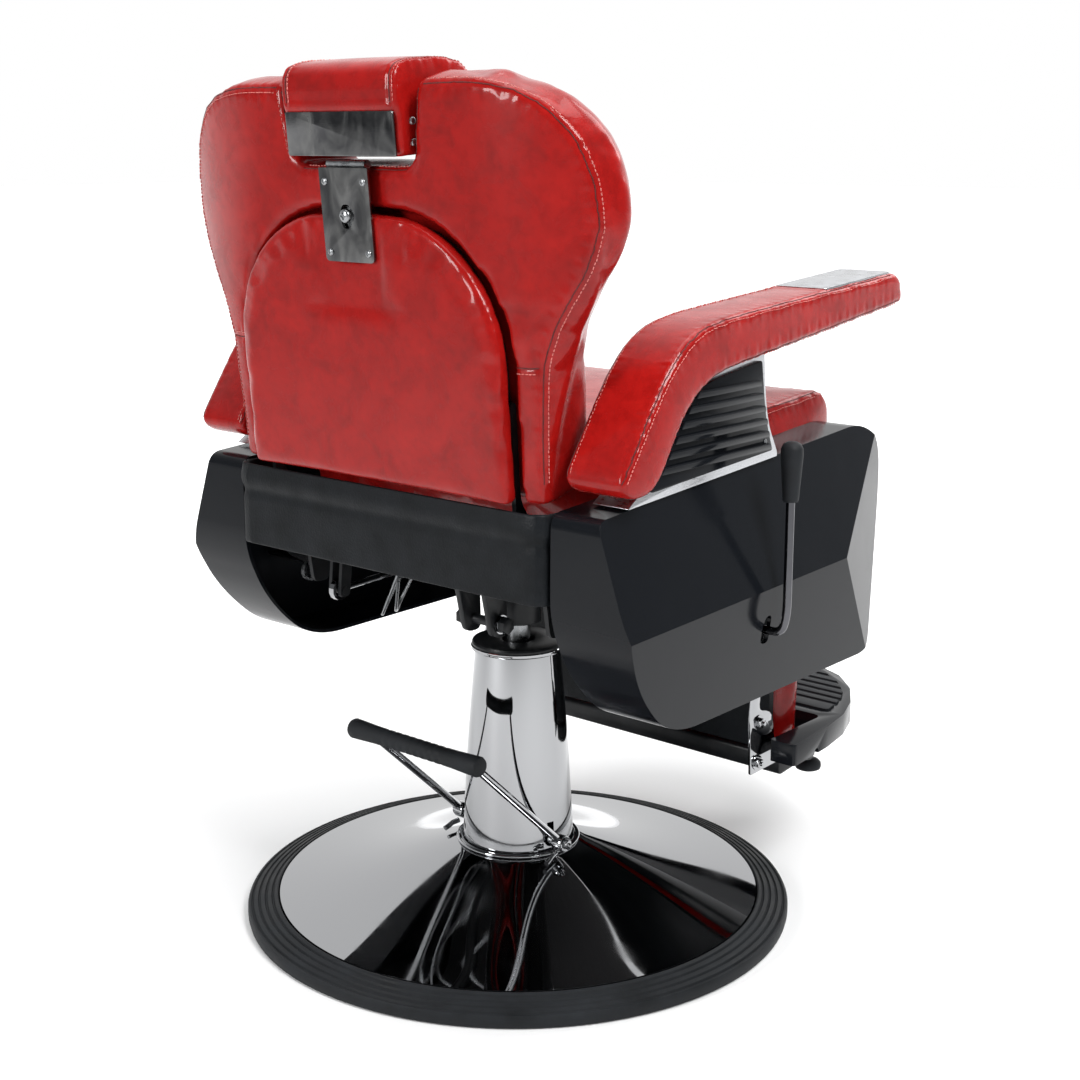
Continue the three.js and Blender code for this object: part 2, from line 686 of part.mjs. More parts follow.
// Half width of the back at a height up it: straight sides that open into wings.
function backHalfWidth(z) {
  const wing = new THREE.SplineCurve([
    [0, 242], [60, 243], [110, 246], [160, 250], [205, 268], [250, 297], [295, 312], [340, 309],
    [385, 294], [420, 262], [438, 226], [446, 185],
  ].map(([at, half]) => new THREE.Vector2(at, half)));
  let low = 0;
  let high = 1;
  for (let i = 0; i < 24; i += 1) {
    const middle = (low + high) / 2;
    if (wing.getPoint(middle).x < z) low = middle;
    else high = middle;
  }
  return wing.getPoint((low + high) / 2).y;
}

// How far a place on the back is curved forward, for wings that wrap the shoulders.
function wingBend(x) {
  const beyond = Math.max(0, Math.abs(x) - 170) / 142;
  return -36 * beyond * beyond;
}

function archOutline(grow) {
  const { half, bottom, shoulder, top } = COVER;
  const w = half + grow;
  const shape = new THREE.Shape();
  shape.moveTo(-w, bottom - grow * 3);
  shape.lineTo(w, bottom - grow * 3);
  shape.lineTo(w, shoulder);
  shape.bezierCurveTo(w - 6, shoulder + 75, w - 66, top + grow - 12, 66, top + grow - 2);
  shape.quadraticCurveTo(0, top + grow + 3, -66, top + grow - 2);
  shape.bezierCurveTo(-w + 66, top + grow - 12, -w + 6, shoulder + 75, -w, shoulder);
  return shape;
}

function backCushion() {
  const { thick, top, notchFloor } = BACK;
  const bottom = 4;
  const slab = warped(14, 2, 16, (s, t, h) => {
    const z = bottom + (top - bottom) * Math.sin(h * Math.PI / 2) ** 1.15;
    const wing = Math.min(1, Math.max(0, (z - 100) / 120));
    const narrowing = 0.01 + 0.05 * wing;
    const x = s * backHalfWidth(z) * (1 - narrowing * (1 - t) ** 2);
    const middle = t === 0.5;
    const side = middle && Math.abs(s) === 1 ? Math.sign(s) * (3 + 12 * wing) : 0;
    const above = middle && h === 1 ? 10 : 0;
    return [x + side, wingBend(x) - thick * (1 - t) * (1 - 0.08 * s ** 4), z + above];
  });
  const notch = alongY(rounded([
    [-91, notchFloor, 14], [91, notchFloor, 14], [106, 470], [-106, 470],
  ]), -200, 50);
  const pocket = alongY(archOutline(3), -28, 30);
  return slab.subtract(notch).subtract(pocket);
}

// Raised cover with the arched top, grooved for the headrest bar.
function backCover() {
  const { top, proud, deep } = COVER;
  const groove = box(-21, 21, 0, 30, top - 50, top + 20);
  return alongY(archOutline(-1), -deep, proud, 3).subtract(groove);
}

function backBoard() {
  const { top } = COVER;
  const outline = rounded([
    [-188, 8, 10], [188, 8, 10], [188, 190, 50], [120, top - 14, 60],
    [-120, top - 14, 60], [-188, 190, 50],
  ]);
  return alongY(outline, -25, -12);
}

// Steel arm from the hinge into the back, drawn in the chair's frame.
function backArm() {
  const outline = rounded([
    [HINGE.y - 12, LEG_LINK.backZ - 10, 8], [HINGE.y + 12, LEG_LINK.backZ - 10, 8],
    [HINGE.y + 20, HINGE.z, 12], [222, 560, 20], [233, 700, 4], [224, 700, 4],
    [216, 590, 12], [HINGE.y - 18, HINGE.z + 14, 12],
  ]);
  const hole = bar([180, HINGE.y, HINGE.z], [215, HINGE.y, HINGE.z], HINGE.pin + GAP);
  const { x, backY, backZ, pin } = LEG_LINK;
  const stub = bar([197, backY, backZ], [x + 6, backY, backZ], pin);
  return alongX(outline, 192, 198).subtract(hole).add(stub);
}

// Turns a solid drawn in the chair's frame into the back's own frame.
function inBackFrame(shape) {
  return shape.translate([0, -BACK.y, -BACK.z]).rotate([BACK.lean, 0, 0]);
}

// Lower cross shaft between the arms, with the lugs that the strut and link push on.
function backCrank() {
  const strut = RECLINE_STRUT;
  const shaft = bar([-190, HINGE.y, HINGE.z + 24], [190, HINGE.y, HINGE.z + 24], 8);
  const lug = (x, y, z) => alongX(rounded([
    [y - 8, z - 8, 6], [y + 8, z - 8, 6], [HINGE.y + 9, HINGE.z + 30, 4], [HINGE.y - 9, HINGE.z + 30, 4],
  ]), x, x + 5);
  const strutLugs = [strut.x - 11, strut.x + 6].map((x) => lug(x, strut.backY, strut.backZ));
  const strutPin = bar([strut.x - 12, strut.backY, strut.backZ], [strut.x + 12, strut.backY, strut.backZ], 5);
  return join(shaft, ...strutLugs, strutPin);
}

// Black padded apron that closes the gap under the back.
function apron() {
  const wall = 4;
  const half = 247;
  const rear = 240;
  const front = 176;
  const plan = (inset, open) => rounded([
    [-half + inset, front - open, 1], [-half + inset, rear - inset, 20],
    [half - inset, rear - inset, 20], [half - inset, front - open, 1],
  ]);
  return alongZ(plan(0, 0), 484, 587).subtract(alongZ(plan(wall, 20), 470, 600));
}

part(back, 'back_cushion', backCushion(), RED_LEATHER);
part(back, 'back_cover', backCover(), RED_LEATHER);
part(back, 'back_board', backBoard(), DUST_COVER);
pair(back, 'back_arm', inBackFrame(backArm()), BLACK_STEEL);
part(back, 'back_crank', inBackFrame(backCrank()), BLACK_STEEL);
part(back, 'back_apron', inBackFrame(apron()), BLACK_LEATHER);

// ---------------------------------------------------------------------- headrest

// Chrome guide plate, bent over at the top, with a keyhole for the catch.
function guidePlate() {
  const { notchFloor } = BACK;
  const low = COVER.top - 52;
  const face = alongY(rounded([[-38, low, 5], [38, low, 5], [38, notchFloor, 1], [-38, notchFloor, 1]]), 11, 13.5);
  const lip = box(-38, 38, 9.4, 13.5, notchFloor - 6, notchFloor);
  const slot = alongY(rounded([
    [-8, low + 36, 7], [8, low + 36, 7], [8, low + 62, 7], [-8, low + 62, 7],
  ]), 0, 30);
  const screws = [-30, 30].flatMap((x) => [low + 10, notchFloor - 16].map((z) => bar([x, 13, z], [x, 16, z], 4, 12)));
  return join(face, lip, ...screws).subtract(slot);
}

function headrestCatch() {
  const z = COVER.top;
  return join(bar([0, 9.4, z], [0, 18, z], 5, 16), bar([0, 14, z], [0, 20, z], 6.5, 16));
}

function headrestBar() {
  const z1 = HEADREST.bottom - 7;
  const strap = box(-19, 19, 2, 7, COVER.top - 48, z1);
  const barrel = bar([-30, 4.5, z1], [30, 4.5, z1], 5, 16);
  return strap.add(barrel);
}

function headrestPlate() {
  const { half, bottom, split, rear } = HEADREST;
  return alongY(rounded([
    [-half + 6, bottom + 2, 3], [half - 6, bottom + 2, 3],
    [half - 6, split - 3, 3], [-half + 6, split - 3, 3],
  ]), rear + GAP, rear + 4);
}

// Headrest pad: a rounded roof over a set-back rear face, rounded down at the front.
function headrestPad() {
  const { half, bottom, split, top, rear, front } = HEADREST;
  const outline = rounded([
    [rear + 5, split, 0], [rear + 5, top, 34], [front, top - 4, 46], [front, bottom + 6, 30],
    [front + 40, bottom, 14], [rear, bottom, 8], [rear, split, 0],
  ]);
  return alongX(outline, -half, half, 4);
}

part(back, 'headrest_guide', guidePlate(), CHROME);
part(back, 'headrest_catch', headrestCatch(), CHROME);
part(back, 'headrest_bar', headrestBar(), BARE_STEEL);
part(back, 'headrest_plate', headrestPlate(), POLISHED);
part(back, 'headrest_pad', headrestPad(), RED_LEATHER);

// --------------------------------------------------------- calf pad and footrest

function calfPad() {
  const { half, frontY, rearY, bottomZ, topZ } = CALF;
  const outline = rounded([
    [rearY, bottomZ, 14], [rearY, topZ, 16], [frontY, topZ, 24], [frontY, bottomZ, 24],
  ]);
  return alongX(outline, -half, half, 5);
}

function calfBoard() {
  const { half, rearY, bottomZ, topZ } = CALF;
  return box(-half + 4, half - 4, rearY + GAP, rearY + 12, bottomZ + 6, topZ - 6);
}

// Chrome side plate hugging the pad's foot, on an arm up to the swing pivot.
function calfPlate() {
  const { in: from, out: to } = CALF_PLATE;
  const plate = rounded([
    [-190, 172, 3], [-292, 176, 10], [-304, 196, 10], [-286, 206, 10],
    [-246, 198, 16], [-236, 248, 14], [-206, 256, 8],
    [-214, 330, 30], [LEG_PIVOT.y - 14, LEG_PIVOT.z - 22, 10],
    [LEG_PIVOT.y - 14, LEG_PIVOT.z + 14, 12], [LEG_PIVOT.y + 14, LEG_PIVOT.z + 14, 12],
    [LEG_PIVOT.y + 14, LEG_PIVOT.z - 16, 10], [-194, 330, 30], [-186, 250, 10],
  ]);
  const holes = [LEG_PIVOT, FOOT_PIVOT].map(({ y, z, pin }) => bar(
    [from - 5, y, z], [to + 5, y, z], pin + GAP));
  const { x, legY, legZ } = LEG_LINK;
  const stub = bar([x - 6, legY, legZ], [from + 1, legY, legZ], LEG_LINK.pin);
  return alongX(plate, from, to).subtract(join(...holes)).add(stub);
}

// Cast beam under the pad that ties the two side plates.
function calfBeam() {
  const end = CALF_PLATE.in - GAP;
  const beam = rounded([
    [-262, 150, 8], [-322, 156, 8], [-322, 178, 6], [-262, 178, 6],
  ]);
  return alongX(beam, -end, end);
}

// Footrest: a shallow tray that wraps the pad, with a rounded front.
function treadPlan(inset) {
  const { frontY, rearY, half, cutY } = TREAD;
  const d = inset;
  const arm = 38;
  return rounded([
    [-half + d, rearY - d, 8], [-half + 16 + d, -400, 120], [-150, frontY + d, 100],
    [150, frontY + d, 100], [half - 16 - d, -400, 120], [half - d, rearY - d, 8],
    [half - arm + d, rearY - d, 4], [half - arm + d, cutY - d, 12],
    [-half + arm - d, cutY - d, 12], [-half + arm - d, rearY - d, 4],
  ]);
}

// Sunken bed of the tray that holds the rubber mat.
function bedPlan(inset) {
  const d = inset;
  const rear = -366 - d;
  const front = TREAD.frontY + 20 + d;
  return rounded([
    [-236 + d, rear, 8], [-220 + d, -440, 40], [-140, front, 90],
    [140, front, 90], [220 - d, -440, 40], [236 - d, rear, 8],
  ]);
}

function footrestPlatform() {
  const { topZ, bottomZ } = TREAD;
  const shell = alongZ(treadPlan(0), bottomZ, topZ);
  const hollow = alongZ(treadPlan(7), bottomZ - 10, topZ - 8);
  const { y, z, pin } = FOOT_PIVOT;
  const bosses = [-1, 1].map((s) => bar([s * 239.5, y, z], [s * 262, y, z], 13));
  const holes = bar([-300, y, z], [300, y, z], pin + GAP);
  const posts = [-1, 1].map((s) => bar([s * FOOT.x, FOOT.y, bottomZ], [s * FOOT.x, FOOT.y, topZ - 5], 12));
  return join(shell.subtract(hollow), ...bosses, ...posts).subtract(holes)
    .subtract(alongZ(bedPlan(0), topZ - 3, topZ + 5));
}

// Rubber mat with ribs across it.
function treadMat() {
  const { topZ } = TREAD;
  const mat = alongZ(bedPlan(1), topZ - 2.5, topZ + 2);
  const grooves = [];
  for (let y = -506; y < -380; y += 21) grooves.push(box(-300, 300, y, y + 9, topZ - 0.5, topZ + 5));
  return mat.subtract(join(...grooves));
}

// Adjustable foot: a threaded stem with a rubber pad on its end.
function levellingFoot() {
  const { x, y, bottomZ } = FOOT;
  return turned([
    [0, bottomZ], [15, bottomZ], [18, bottomZ + 4], [17, bottomZ + 11], [9, bottomZ + 15],
    [6, bottomZ + 15], [6, TREAD.bottomZ - GAP], [0, TREAD.bottomZ - GAP],
  ], 24).translate([x, y, 0]);
}

part(legrest, 'calf_pad', calfPad(), RED_LEATHER);
part(legrest, 'calf_board', calfBoard(), BLACK_LEATHER);
pair(legrest, 'calf_plate', calfPlate(), CHROME);
part(legrest, 'calf_beam', calfBeam(), BLACK_STEEL);
part(footrest, 'footrest_platform', footrestPlatform(), GLOSS_BLACK);
part(footrest, 'footrest_mat', treadMat(), RUBBER);
pair(footrest, 'footrest_bolt', pivotPin(FOOT_PIVOT, 224, 239 - GAP), CHROME);
pair(footrest, 'levelling_foot', levellingFoot(), RUBBER);
pair(seat, 'back_hinge_pin', pivotPin(HINGE, 190, 253), CHROME);

export default chair;
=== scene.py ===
"""Looks of the hydraulic barber chair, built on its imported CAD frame. Metres, +Z up;
the sitter faces -Y. Lengths below are in millimetres where they are multiplied by MM."""

import json
import math

import bmesh
import bpy
from mathutils import Matrix, Vector, kdtree
from mathutils.bvhtree import BVHTree

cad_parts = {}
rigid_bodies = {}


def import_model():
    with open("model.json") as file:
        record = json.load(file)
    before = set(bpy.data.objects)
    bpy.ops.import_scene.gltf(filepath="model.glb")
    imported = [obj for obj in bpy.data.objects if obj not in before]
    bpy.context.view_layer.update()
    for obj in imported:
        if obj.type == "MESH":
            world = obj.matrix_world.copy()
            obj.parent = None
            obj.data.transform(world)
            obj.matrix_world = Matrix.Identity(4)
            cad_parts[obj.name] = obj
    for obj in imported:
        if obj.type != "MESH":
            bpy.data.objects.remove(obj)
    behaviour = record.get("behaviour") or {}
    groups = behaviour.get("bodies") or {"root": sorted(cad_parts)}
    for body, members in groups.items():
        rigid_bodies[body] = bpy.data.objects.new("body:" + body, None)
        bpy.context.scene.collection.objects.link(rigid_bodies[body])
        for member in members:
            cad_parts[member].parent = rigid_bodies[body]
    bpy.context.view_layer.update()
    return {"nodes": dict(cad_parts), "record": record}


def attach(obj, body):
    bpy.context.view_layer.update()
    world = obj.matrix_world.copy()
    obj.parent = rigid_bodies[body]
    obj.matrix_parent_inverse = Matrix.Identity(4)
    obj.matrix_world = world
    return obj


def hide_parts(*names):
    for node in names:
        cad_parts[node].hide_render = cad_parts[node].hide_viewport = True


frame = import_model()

MM = 0.001
SIDES = (("left", 1), ("right", -1))
UP = Vector((0, 0, 1))

# The back leans, and its parts are drawn in its own frame: X across, Y rearward from
# the rear surface, Z up the back.
LEAN = math.radians(5.03)
BACK_FRAME = Matrix.Translation((0, 0.236, 0.586)) @ Matrix.Rotation(-LEAN, 4, "X")
SEAT_TILT = math.radians(4.1)
DOME_EDGE = 310
SLEEVE_FOOT_Z = 88
SLEEVE_TOP_Z = 346
ARM_INNER = 257
ARM_OUTER = 343
LEVER_AXIS_Y = 15
LEVER_AXIS_Z = 105
PANEL_WALL = 5
CLOTH_STEPS = 20

# The camera, in metres, and the level direction that it looks along.
CAMERA_PLACE = (-1.4057, 1.5783, 0.9719)
CAMERA_LOOK = Vector((0.638, -0.736, -0.226))
CAMERA_LENS = 57.8
AWAY = Vector((0.655, -0.756, 0))


# ------------------------------------------------------------------ mesh helpers

def placed(name, data):
    """A new object in the scene that shows some data."""
    made = bpy.data.objects.new(name, data)
    bpy.context.scene.collection.objects.link(made)
    return made


def new_object(name, verts, faces=(), scale=MM):
    mesh = bpy.data.meshes.new(name)
    mesh.from_pydata([Vector(v) * scale for v in verts], [], faces)
    mesh.update()
    return placed(name, mesh)


def in_metres(points):
    return [Vector(p) * MM for p in points]


def moved(piece, x, y, z):
    """Shifts a piece's mesh by millimetres."""
    piece.data.transform(Matrix.Translation(Vector((x, y, z)) * MM))


def edit(piece, work):
    """Runs work(bm) on a piece's mesh and writes it back with outward normals."""
    bm = bmesh.new()
    bm.from_mesh(piece.data)
    work(bm)
    bmesh.ops.recalc_face_normals(bm, faces=bm.faces)
    bm.to_mesh(piece.data)
    bm.free()
    piece.data.update()


def smooth(piece, angle=40):
    piece.data.shade_smooth()
    if angle < 180:
        piece.data.set_sharp_from_angle(angle=math.radians(angle))
    return piece


def apply_modifiers(piece):
    depsgraph = bpy.context.evaluated_depsgraph_get()
    made = bpy.data.meshes.new_from_object(piece.evaluated_get(depsgraph))
    piece.modifiers.clear()
    old = piece.data
    piece.data = made
    bpy.data.meshes.remove(old)
    return piece


def bevelled(piece, width, segments=3, angle=30, even=False):
    """Rounds the edges sharper than an angle; even keeps big faces flatly shaded."""
    mod = piece.modifiers.new("edges", "BEVEL")
    mod.width = width * MM
    mod.segments = segments
    mod.limit_method = "ANGLE"
    mod.angle_limit = math.radians(angle)
    if even:
        piece.data.shade_smooth()
        weighted = piece.modifiers.new("normals", "WEIGHTED_NORMAL")
        weighted.weight = 100
        return apply_modifiers(piece)
    apply_modifiers(piece)
    return smooth(piece, 50)


def joined(name, pieces):
    """One object from several, in the order given."""
    bm = bmesh.new()
    for piece in pieces:
        piece.data.transform(piece.matrix_world)
        bm.from_mesh(piece.data)
        bpy.data.objects.remove(piece)
    mesh = bpy.data.meshes.new(name)
    bm.to_mesh(mesh)
    bm.free()
    return placed(name, mesh)


def boolean(piece, other, operation="DIFFERENCE"):
    mod = piece.modifiers.new("cut", "BOOLEAN")
    mod.object = other
    mod.operation = operation
    mod.solver = "EXACT"
    apply_modifiers(piece)
    bpy.data.objects.remove(other)
    return piece


def mirrored(piece, name):
    """A copy on the other side of the chair."""
    twin = placed(name, piece.data.copy())
    twin.data.transform(Matrix.Scale(-1, 4, Vector((1, 0, 0))))
    twin.data.flip_normals()
    return twin


def rounded(corners, steps=8):
    """Points of a polygon with rounded corners; each corner is (a, b, radius)."""
    points = []
    count = len(corners)
    for i, (a, b, radius) in enumerate(corners):
        here = Vector((a, b))
        to_back = Vector(corners[i - 1][:2]) - here
        to_ahead = Vector(corners[(i + 1) % count][:2]) - here
        if radius == 0:
            points.append(here)
            continue
        back = here + to_back.normalized() * min(radius, 0.48 * to_back.length)
        ahead = here + to_ahead.normalized() * min(radius, 0.48 * to_ahead.length)
        for k in range(steps + 1):
            t = k / steps
            points.append(back * (1 - t) ** 2 + here * 2 * t * (1 - t) + ahead * t ** 2)
    return points


def prism(name, outline, axis, low, high):
    """An outline extruded along X (drawn in Y, Z), Y (in X, Z) or Z (in X, Y)."""
    place = {
        "X": lambda a, b, d: (d, a, b),
        "Y": lambda a, b, d: (a, d, b),
        "Z": lambda a, b, d: (a, b, d),
    }[axis]
    count = len(outline)
    verts = [place(p[0], p[1], d) for d in (low, high) for p in outline]
    faces = [list(range(count)), list(range(2 * count - 1, count - 1, -1))]
    faces += [[i, (i + 1) % count, count + (i + 1) % count, count + i] for i in range(count)]
    piece = new_object(name, verts, faces)
    edit(piece, lambda bm: None)
    return piece


def block(name, low, high):
    outline = [(low[0], low[1]), (high[0], low[1]), (high[0], high[1]), (low[0], high[1])]
    return prism(name, outline, "Z", low[2], high[2])


def turned(name, profile, segments=128, closed=False):
    """A profile of (radius, height) turned about Z; ends lie on the axis unless closed."""
    verts, rings = [], []
    for r, z in profile:
        if r == 0:
            rings.append([len(verts)] * segments)
            verts.append((0, 0, z))
            continue
        rings.append(list(range(len(verts), len(verts) + segments)))
        for k in range(segments):
            turn = 2 * math.pi * k / segments
            verts.append((r * math.cos(turn), r * math.sin(turn), z))
    pairs = list(zip(rings, rings[1:]))
    if closed:
        pairs.append((rings[-1], rings[0]))
    faces = []
    for low, high in pairs:
        for k in range(segments):
            n = (k + 1) % segments
            corner = list(dict.fromkeys([low[k], low[n], high[n], high[k]]))
            if len(corner) > 2:
                faces.append(corner)
    piece = new_object(name, verts, faces)
    edit(piece, lambda bm: None)
    return smooth(piece, 30)


def bent_path(points, radius, steps=10):
    """A polyline through points with each inner corner rounded."""
    v = [Vector(p) for p in points]
    path = [v[0]]
    for before, here, after in zip(v, v[1:], v[2:]):
        back = here + (before - here).normalized() * radius
        ahead = here + (after - here).normalized() * radius
        for k in range(steps + 1):
            t = k / steps
            path.append(back * (1 - t) ** 2 + here * 2 * t * (1 - t) + ahead * t ** 2)
    return path + [v[-1]]


def tube(name, path, radius, segments=24, widths=None):
    """A closed round bar along a path, in metres; widths scales the radius at each point."""
    verts, faces = [], []
    side = None
    for i, point in enumerate(path):
        ahead = (path[min(i + 1, len(path) - 1)] - path[max(i - 1, 0)]).normalized()
        if side is None:
            side = ahead.orthogonal().normalized()
        side = (side - ahead * side.dot(ahead)).normalized()
        other = ahead.cross(side)
        r = radius * (widths[i] if widths else 1)
        for k in range(segments):
            turn = 2 * math.pi * k / segments
            verts.append(point + (side * math.cos(turn) + other * math.sin(turn)) * r)
    for i in range(len(path) - 1):
        for k in range(segments):
            n = (k + 1) % segments
            a, b = i * segments, (i + 1) * segments
            faces.append([a + k, a + n, b + n, b + k])
    faces.append(list(range(segments)))
    faces.append(list(range(len(verts) - 1, len(verts) - segments - 1, -1)))
    piece = new_object(name, verts, faces, 1)
    edit(piece, lambda bm: None)
    return smooth(piece, 50)


def bar(name, start, end, radius, segments=32):
    return tube(name, [Vector(start), Vector(end)], radius, segments)


def screw(name, at, out, radius, height, drive="cross"):
    """A domed screw head lying on a face, with a cross or hex drive cut in it."""
    profile = [(0, -2), (radius, -2), (radius, height * 0.35)]
    profile += [(radius * math.cos(a), height * (0.35 + 0.65 * math.sin(a)))
                for a in (0.4, 0.8, 1.2)]
    head = turned(name, profile + [(0, height)], 32)
    if drive == "cross":
        w, reach = radius * 0.14, radius * 0.55
        for lean in (0, 90):
            slot = block("slot", (-reach, -w, height * 0.6), (reach, w, height * 2))
            slot.data.transform(Matrix.Rotation(math.radians(lean), 4, "Z"))
            boolean(head, slot)
    else:
        ring = [(radius * 0.55 * math.cos(a * math.pi / 3), radius * 0.55 * math.sin(a * math.pi / 3))
                for a in range(6)]
        boolean(head, prism("socket", ring, "Z", height * 0.5, height * 2))
    smooth(head, 35)
    head.data.transform(UP.rotation_difference(Vector(out)).to_matrix().to_4x4())
    head.data.transform(Matrix.Translation(Vector(at) * MM))
    return head


def hex_bolt(name, at, out, across=8, height=6, washer=11):
    """A hexagonal head with a chamfer, on a washer."""
    plate = turned(name + "_w", [(0, 0), (washer, 0), (washer, 1.6), (0, 1.6)], 40)
    ring = [(across * math.cos(a * math.pi / 3), across * math.sin(a * math.pi / 3))
            for a in range(6)]
    head = bevelled(prism(name + "_h", ring, "Z", 1.6, 1.6 + height), 0.7, 2)
    tip = turned(name + "_t", [(0, 0), (across * 0.45, 0), (across * 0.45, height + 4),
                               (across * 0.35, height + 5), (0, height + 5)], 24)
    made = smooth(joined(name, [plate, head, tip]), 40)
    made.data.transform(UP.rotation_difference(Vector(out)).to_matrix().to_4x4())
    made.data.transform(Matrix.Translation(Vector(at) * MM))
    return made


# --------------------------------------------------------------------- materials

def material(name, base, roughness, metallic=0.0, **sockets):
    """A Principled material; returns it with its nodes, links and shader."""
    made = bpy.data.materials.new(name)
    made.use_nodes = True
    nodes, links = made.node_tree.nodes, made.node_tree.links
    shader = nodes["Principled BSDF"]
    shader.inputs["Base Color"].default_value = (*base, 1)
    shader.inputs["Roughness"].default_value = roughness
    shader.inputs["Metallic"].default_value = metallic
    for socket, value in sockets.items():
        shader.inputs[socket.replace("_", " ")].default_value = value
    return made, nodes, links, shader


def texture(nodes, links, kind, scale, stretch=(1, 1, 1), **values):
    """A noise, voronoi or wave texture in object coordinates."""
    where = nodes.new("ShaderNodeTexCoord")
    mapping = nodes.new("ShaderNodeMapping")
    mapping.inputs["Scale"].default_value = stretch
    tex = nodes.new("ShaderNodeTex" + kind)
    tex.inputs["Scale"].default_value = scale
    for socket, value in values.items():
        tex.inputs[socket].default_value = value
    links.new(where.outputs["Object"], mapping.inputs["Vector"])
    links.new(mapping.outputs["Vector"], tex.inputs["Vector"])
    return tex


def ramp(nodes, links, source, stops):
    """A colour ramp over (position, value or colour) stops."""
    node = nodes.new("ShaderNodeValToRGB")
    while len(node.color_ramp.elements) < len(stops):
        node.color_ramp.elements.new(0.5)
    for element, (at, colour) in zip(node.color_ramp.elements, stops):
        element.position = at
        element.color = (*colour, 1) if isinstance(colour, tuple) else (colour,) * 3 + (1,)
    links.new(source, node.inputs["Fac"])
    return node.outputs["Color"]


def mixed(nodes, links, a, b, factor, mode="MIX"):
    node = nodes.new("ShaderNodeMix")
    node.data_type = "RGBA"
    node.blend_type = mode
    for socket, value in ((0, factor), (6, a), (7, b)):
        if isinstance(value, bpy.types.NodeSocket):
            links.new(value, node.inputs[socket])
        else:
            node.inputs[socket].default_value = value
    return node.outputs[2]


def bump(nodes, links, height, distance, strength=1.0, below=None):
    node = nodes.new("ShaderNodeBump")
    node.inputs["Distance"].default_value = distance
    node.inputs["Strength"].default_value = strength
    links.new(height, node.inputs["Height"])
    if below is not None:
        links.new(below, node.inputs["Normal"])
    return node.outputs["Normal"]


def red_leather():
    """Glossy, mottled red upholstery with fine grain and soft creases."""
    made, nodes, links, shader = material(
        "red_leather", (0.3, 0.006, 0.005), 0.24, Specular_IOR_Level=0.12, Coat_Weight=0.3,
        Coat_Roughness=0.06)
    clouds = texture(nodes, links, "Noise", 22, Detail=5, Roughness=0.62, Distortion=0.5)
    flecks = texture(nodes, links, "Noise", 95, Detail=4, Roughness=0.6)
    base = ramp(nodes, links, clouds.outputs["Fac"],
                [(0.3, (0.23, 0.004, 0.003)), (0.5, (0.30, 0.006, 0.005)),
                 (0.75, (0.36, 0.009, 0.007))])
    darker = ramp(nodes, links, flecks.outputs["Fac"],
                  [(0.36, (0.78, 0.72, 0.72)), (0.55, (1.0, 1.0, 1.0))])
    links.new(mixed(nodes, links, base, darker, 0.6, "MULTIPLY"), shader.inputs["Base Color"])
    links.new(ramp(nodes, links, clouds.outputs["Fac"], [(0.3, 0.33), (0.7, 0.2)]),
              shader.inputs["Roughness"])
    grain = texture(nodes, links, "Voronoi", 620)
    folds = texture(nodes, links, "Noise", 14, Detail=3, Roughness=0.5)
    fine = bump(nodes, links, grain.outputs["Distance"], 0.00012, 0.35)
    links.new(bump(nodes, links, folds.outputs["Fac"], 0.004, 0.22, fine),
              shader.inputs["Normal"])
    return made


def black_leather():
    """Matt black upholstery with a visible pebble grain."""
    made, nodes, links, shader = material(
        "black_leather", (0.01, 0.011, 0.013), 0.42, Specular_IOR_Level=0.12)
    cells = texture(nodes, links, "Voronoi", 420)
    clouds = texture(nodes, links, "Noise", 30, Detail=4)
    links.new(ramp(nodes, links, clouds.outputs["Fac"],
                   [(0.3, (0.005, 0.006, 0.007)), (0.7, (0.010, 0.0115, 0.0135))]),
              shader.inputs["Base Color"])
    links.new(ramp(nodes, links, clouds.outputs["Fac"], [(0.3, 0.5), (0.7, 0.38)]),
              shader.inputs["Roughness"])
    links.new(bump(nodes, links, cells.outputs["Distance"], 0.0004, 0.6),
              shader.inputs["Normal"])
    return made


def chrome():
    """Mirror plating with faint wiping marks and slow waves of polishing."""
    made, nodes, links, shader = material("chrome", (0.38, 0.385, 0.395), 0.04, 1.0)
    smears = texture(nodes, links, "Noise", 9, Detail=6, Distortion=1.2)
    links.new(ramp(nodes, links, smears.outputs["Fac"], [(0.42, 0.02), (0.8, 0.11)]),
              shader.inputs["Roughness"])
    waves = texture(nodes, links, "Noise", 5)
    links.new(bump(nodes, links, waves.outputs["Fac"], 0.0004, 0.35), shader.inputs["Normal"])
    return made


def polished_steel():
    """Stainless sheet: cloudy reflections, fingerprints and hairline marks."""
    made, nodes, links, shader = material("polished_steel", (0.22, 0.22, 0.22), 0.2, 1.0)
    smears = texture(nodes, links, "Noise", 28, (1, 1, 0.5), Detail=6, Distortion=1.6)
    hairs = texture(nodes, links, "Noise", 60, (1, 1, 30), Detail=2)
    links.new(ramp(nodes, links, smears.outputs["Fac"],
                   [(0.35, (0.1, 0.1, 0.105)), (0.65, (0.2, 0.2, 0.197))]),
              shader.inputs["Base Color"])
    links.new(ramp(nodes, links, smears.outputs["Fac"], [(0.35, 0.08), (0.7, 0.3)]),
              shader.inputs["Roughness"])
    links.new(bump(nodes, links, hairs.outputs["Fac"], 0.00005, 0.4), shader.inputs["Normal"])
    return made


def gloss_black():
    """Black moulded plastic under a clear gloss, with slight ripple and dust."""
    made, nodes, links, shader = material(
        "gloss_black", (0.006, 0.007, 0.009), 0.12, Specular_IOR_Level=0.16)
    dust = texture(nodes, links, "Noise", 12, Detail=8, Roughness=0.7)
    links.new(ramp(nodes, links, dust.outputs["Fac"], [(0.35, 0.1), (0.75, 0.24)]),
              shader.inputs["Roughness"])
    ripple = texture(nodes, links, "Noise", 18)
    links.new(bump(nodes, links, ripple.outputs["Fac"], 0.0004, 0.3), shader.inputs["Normal"])
    return made


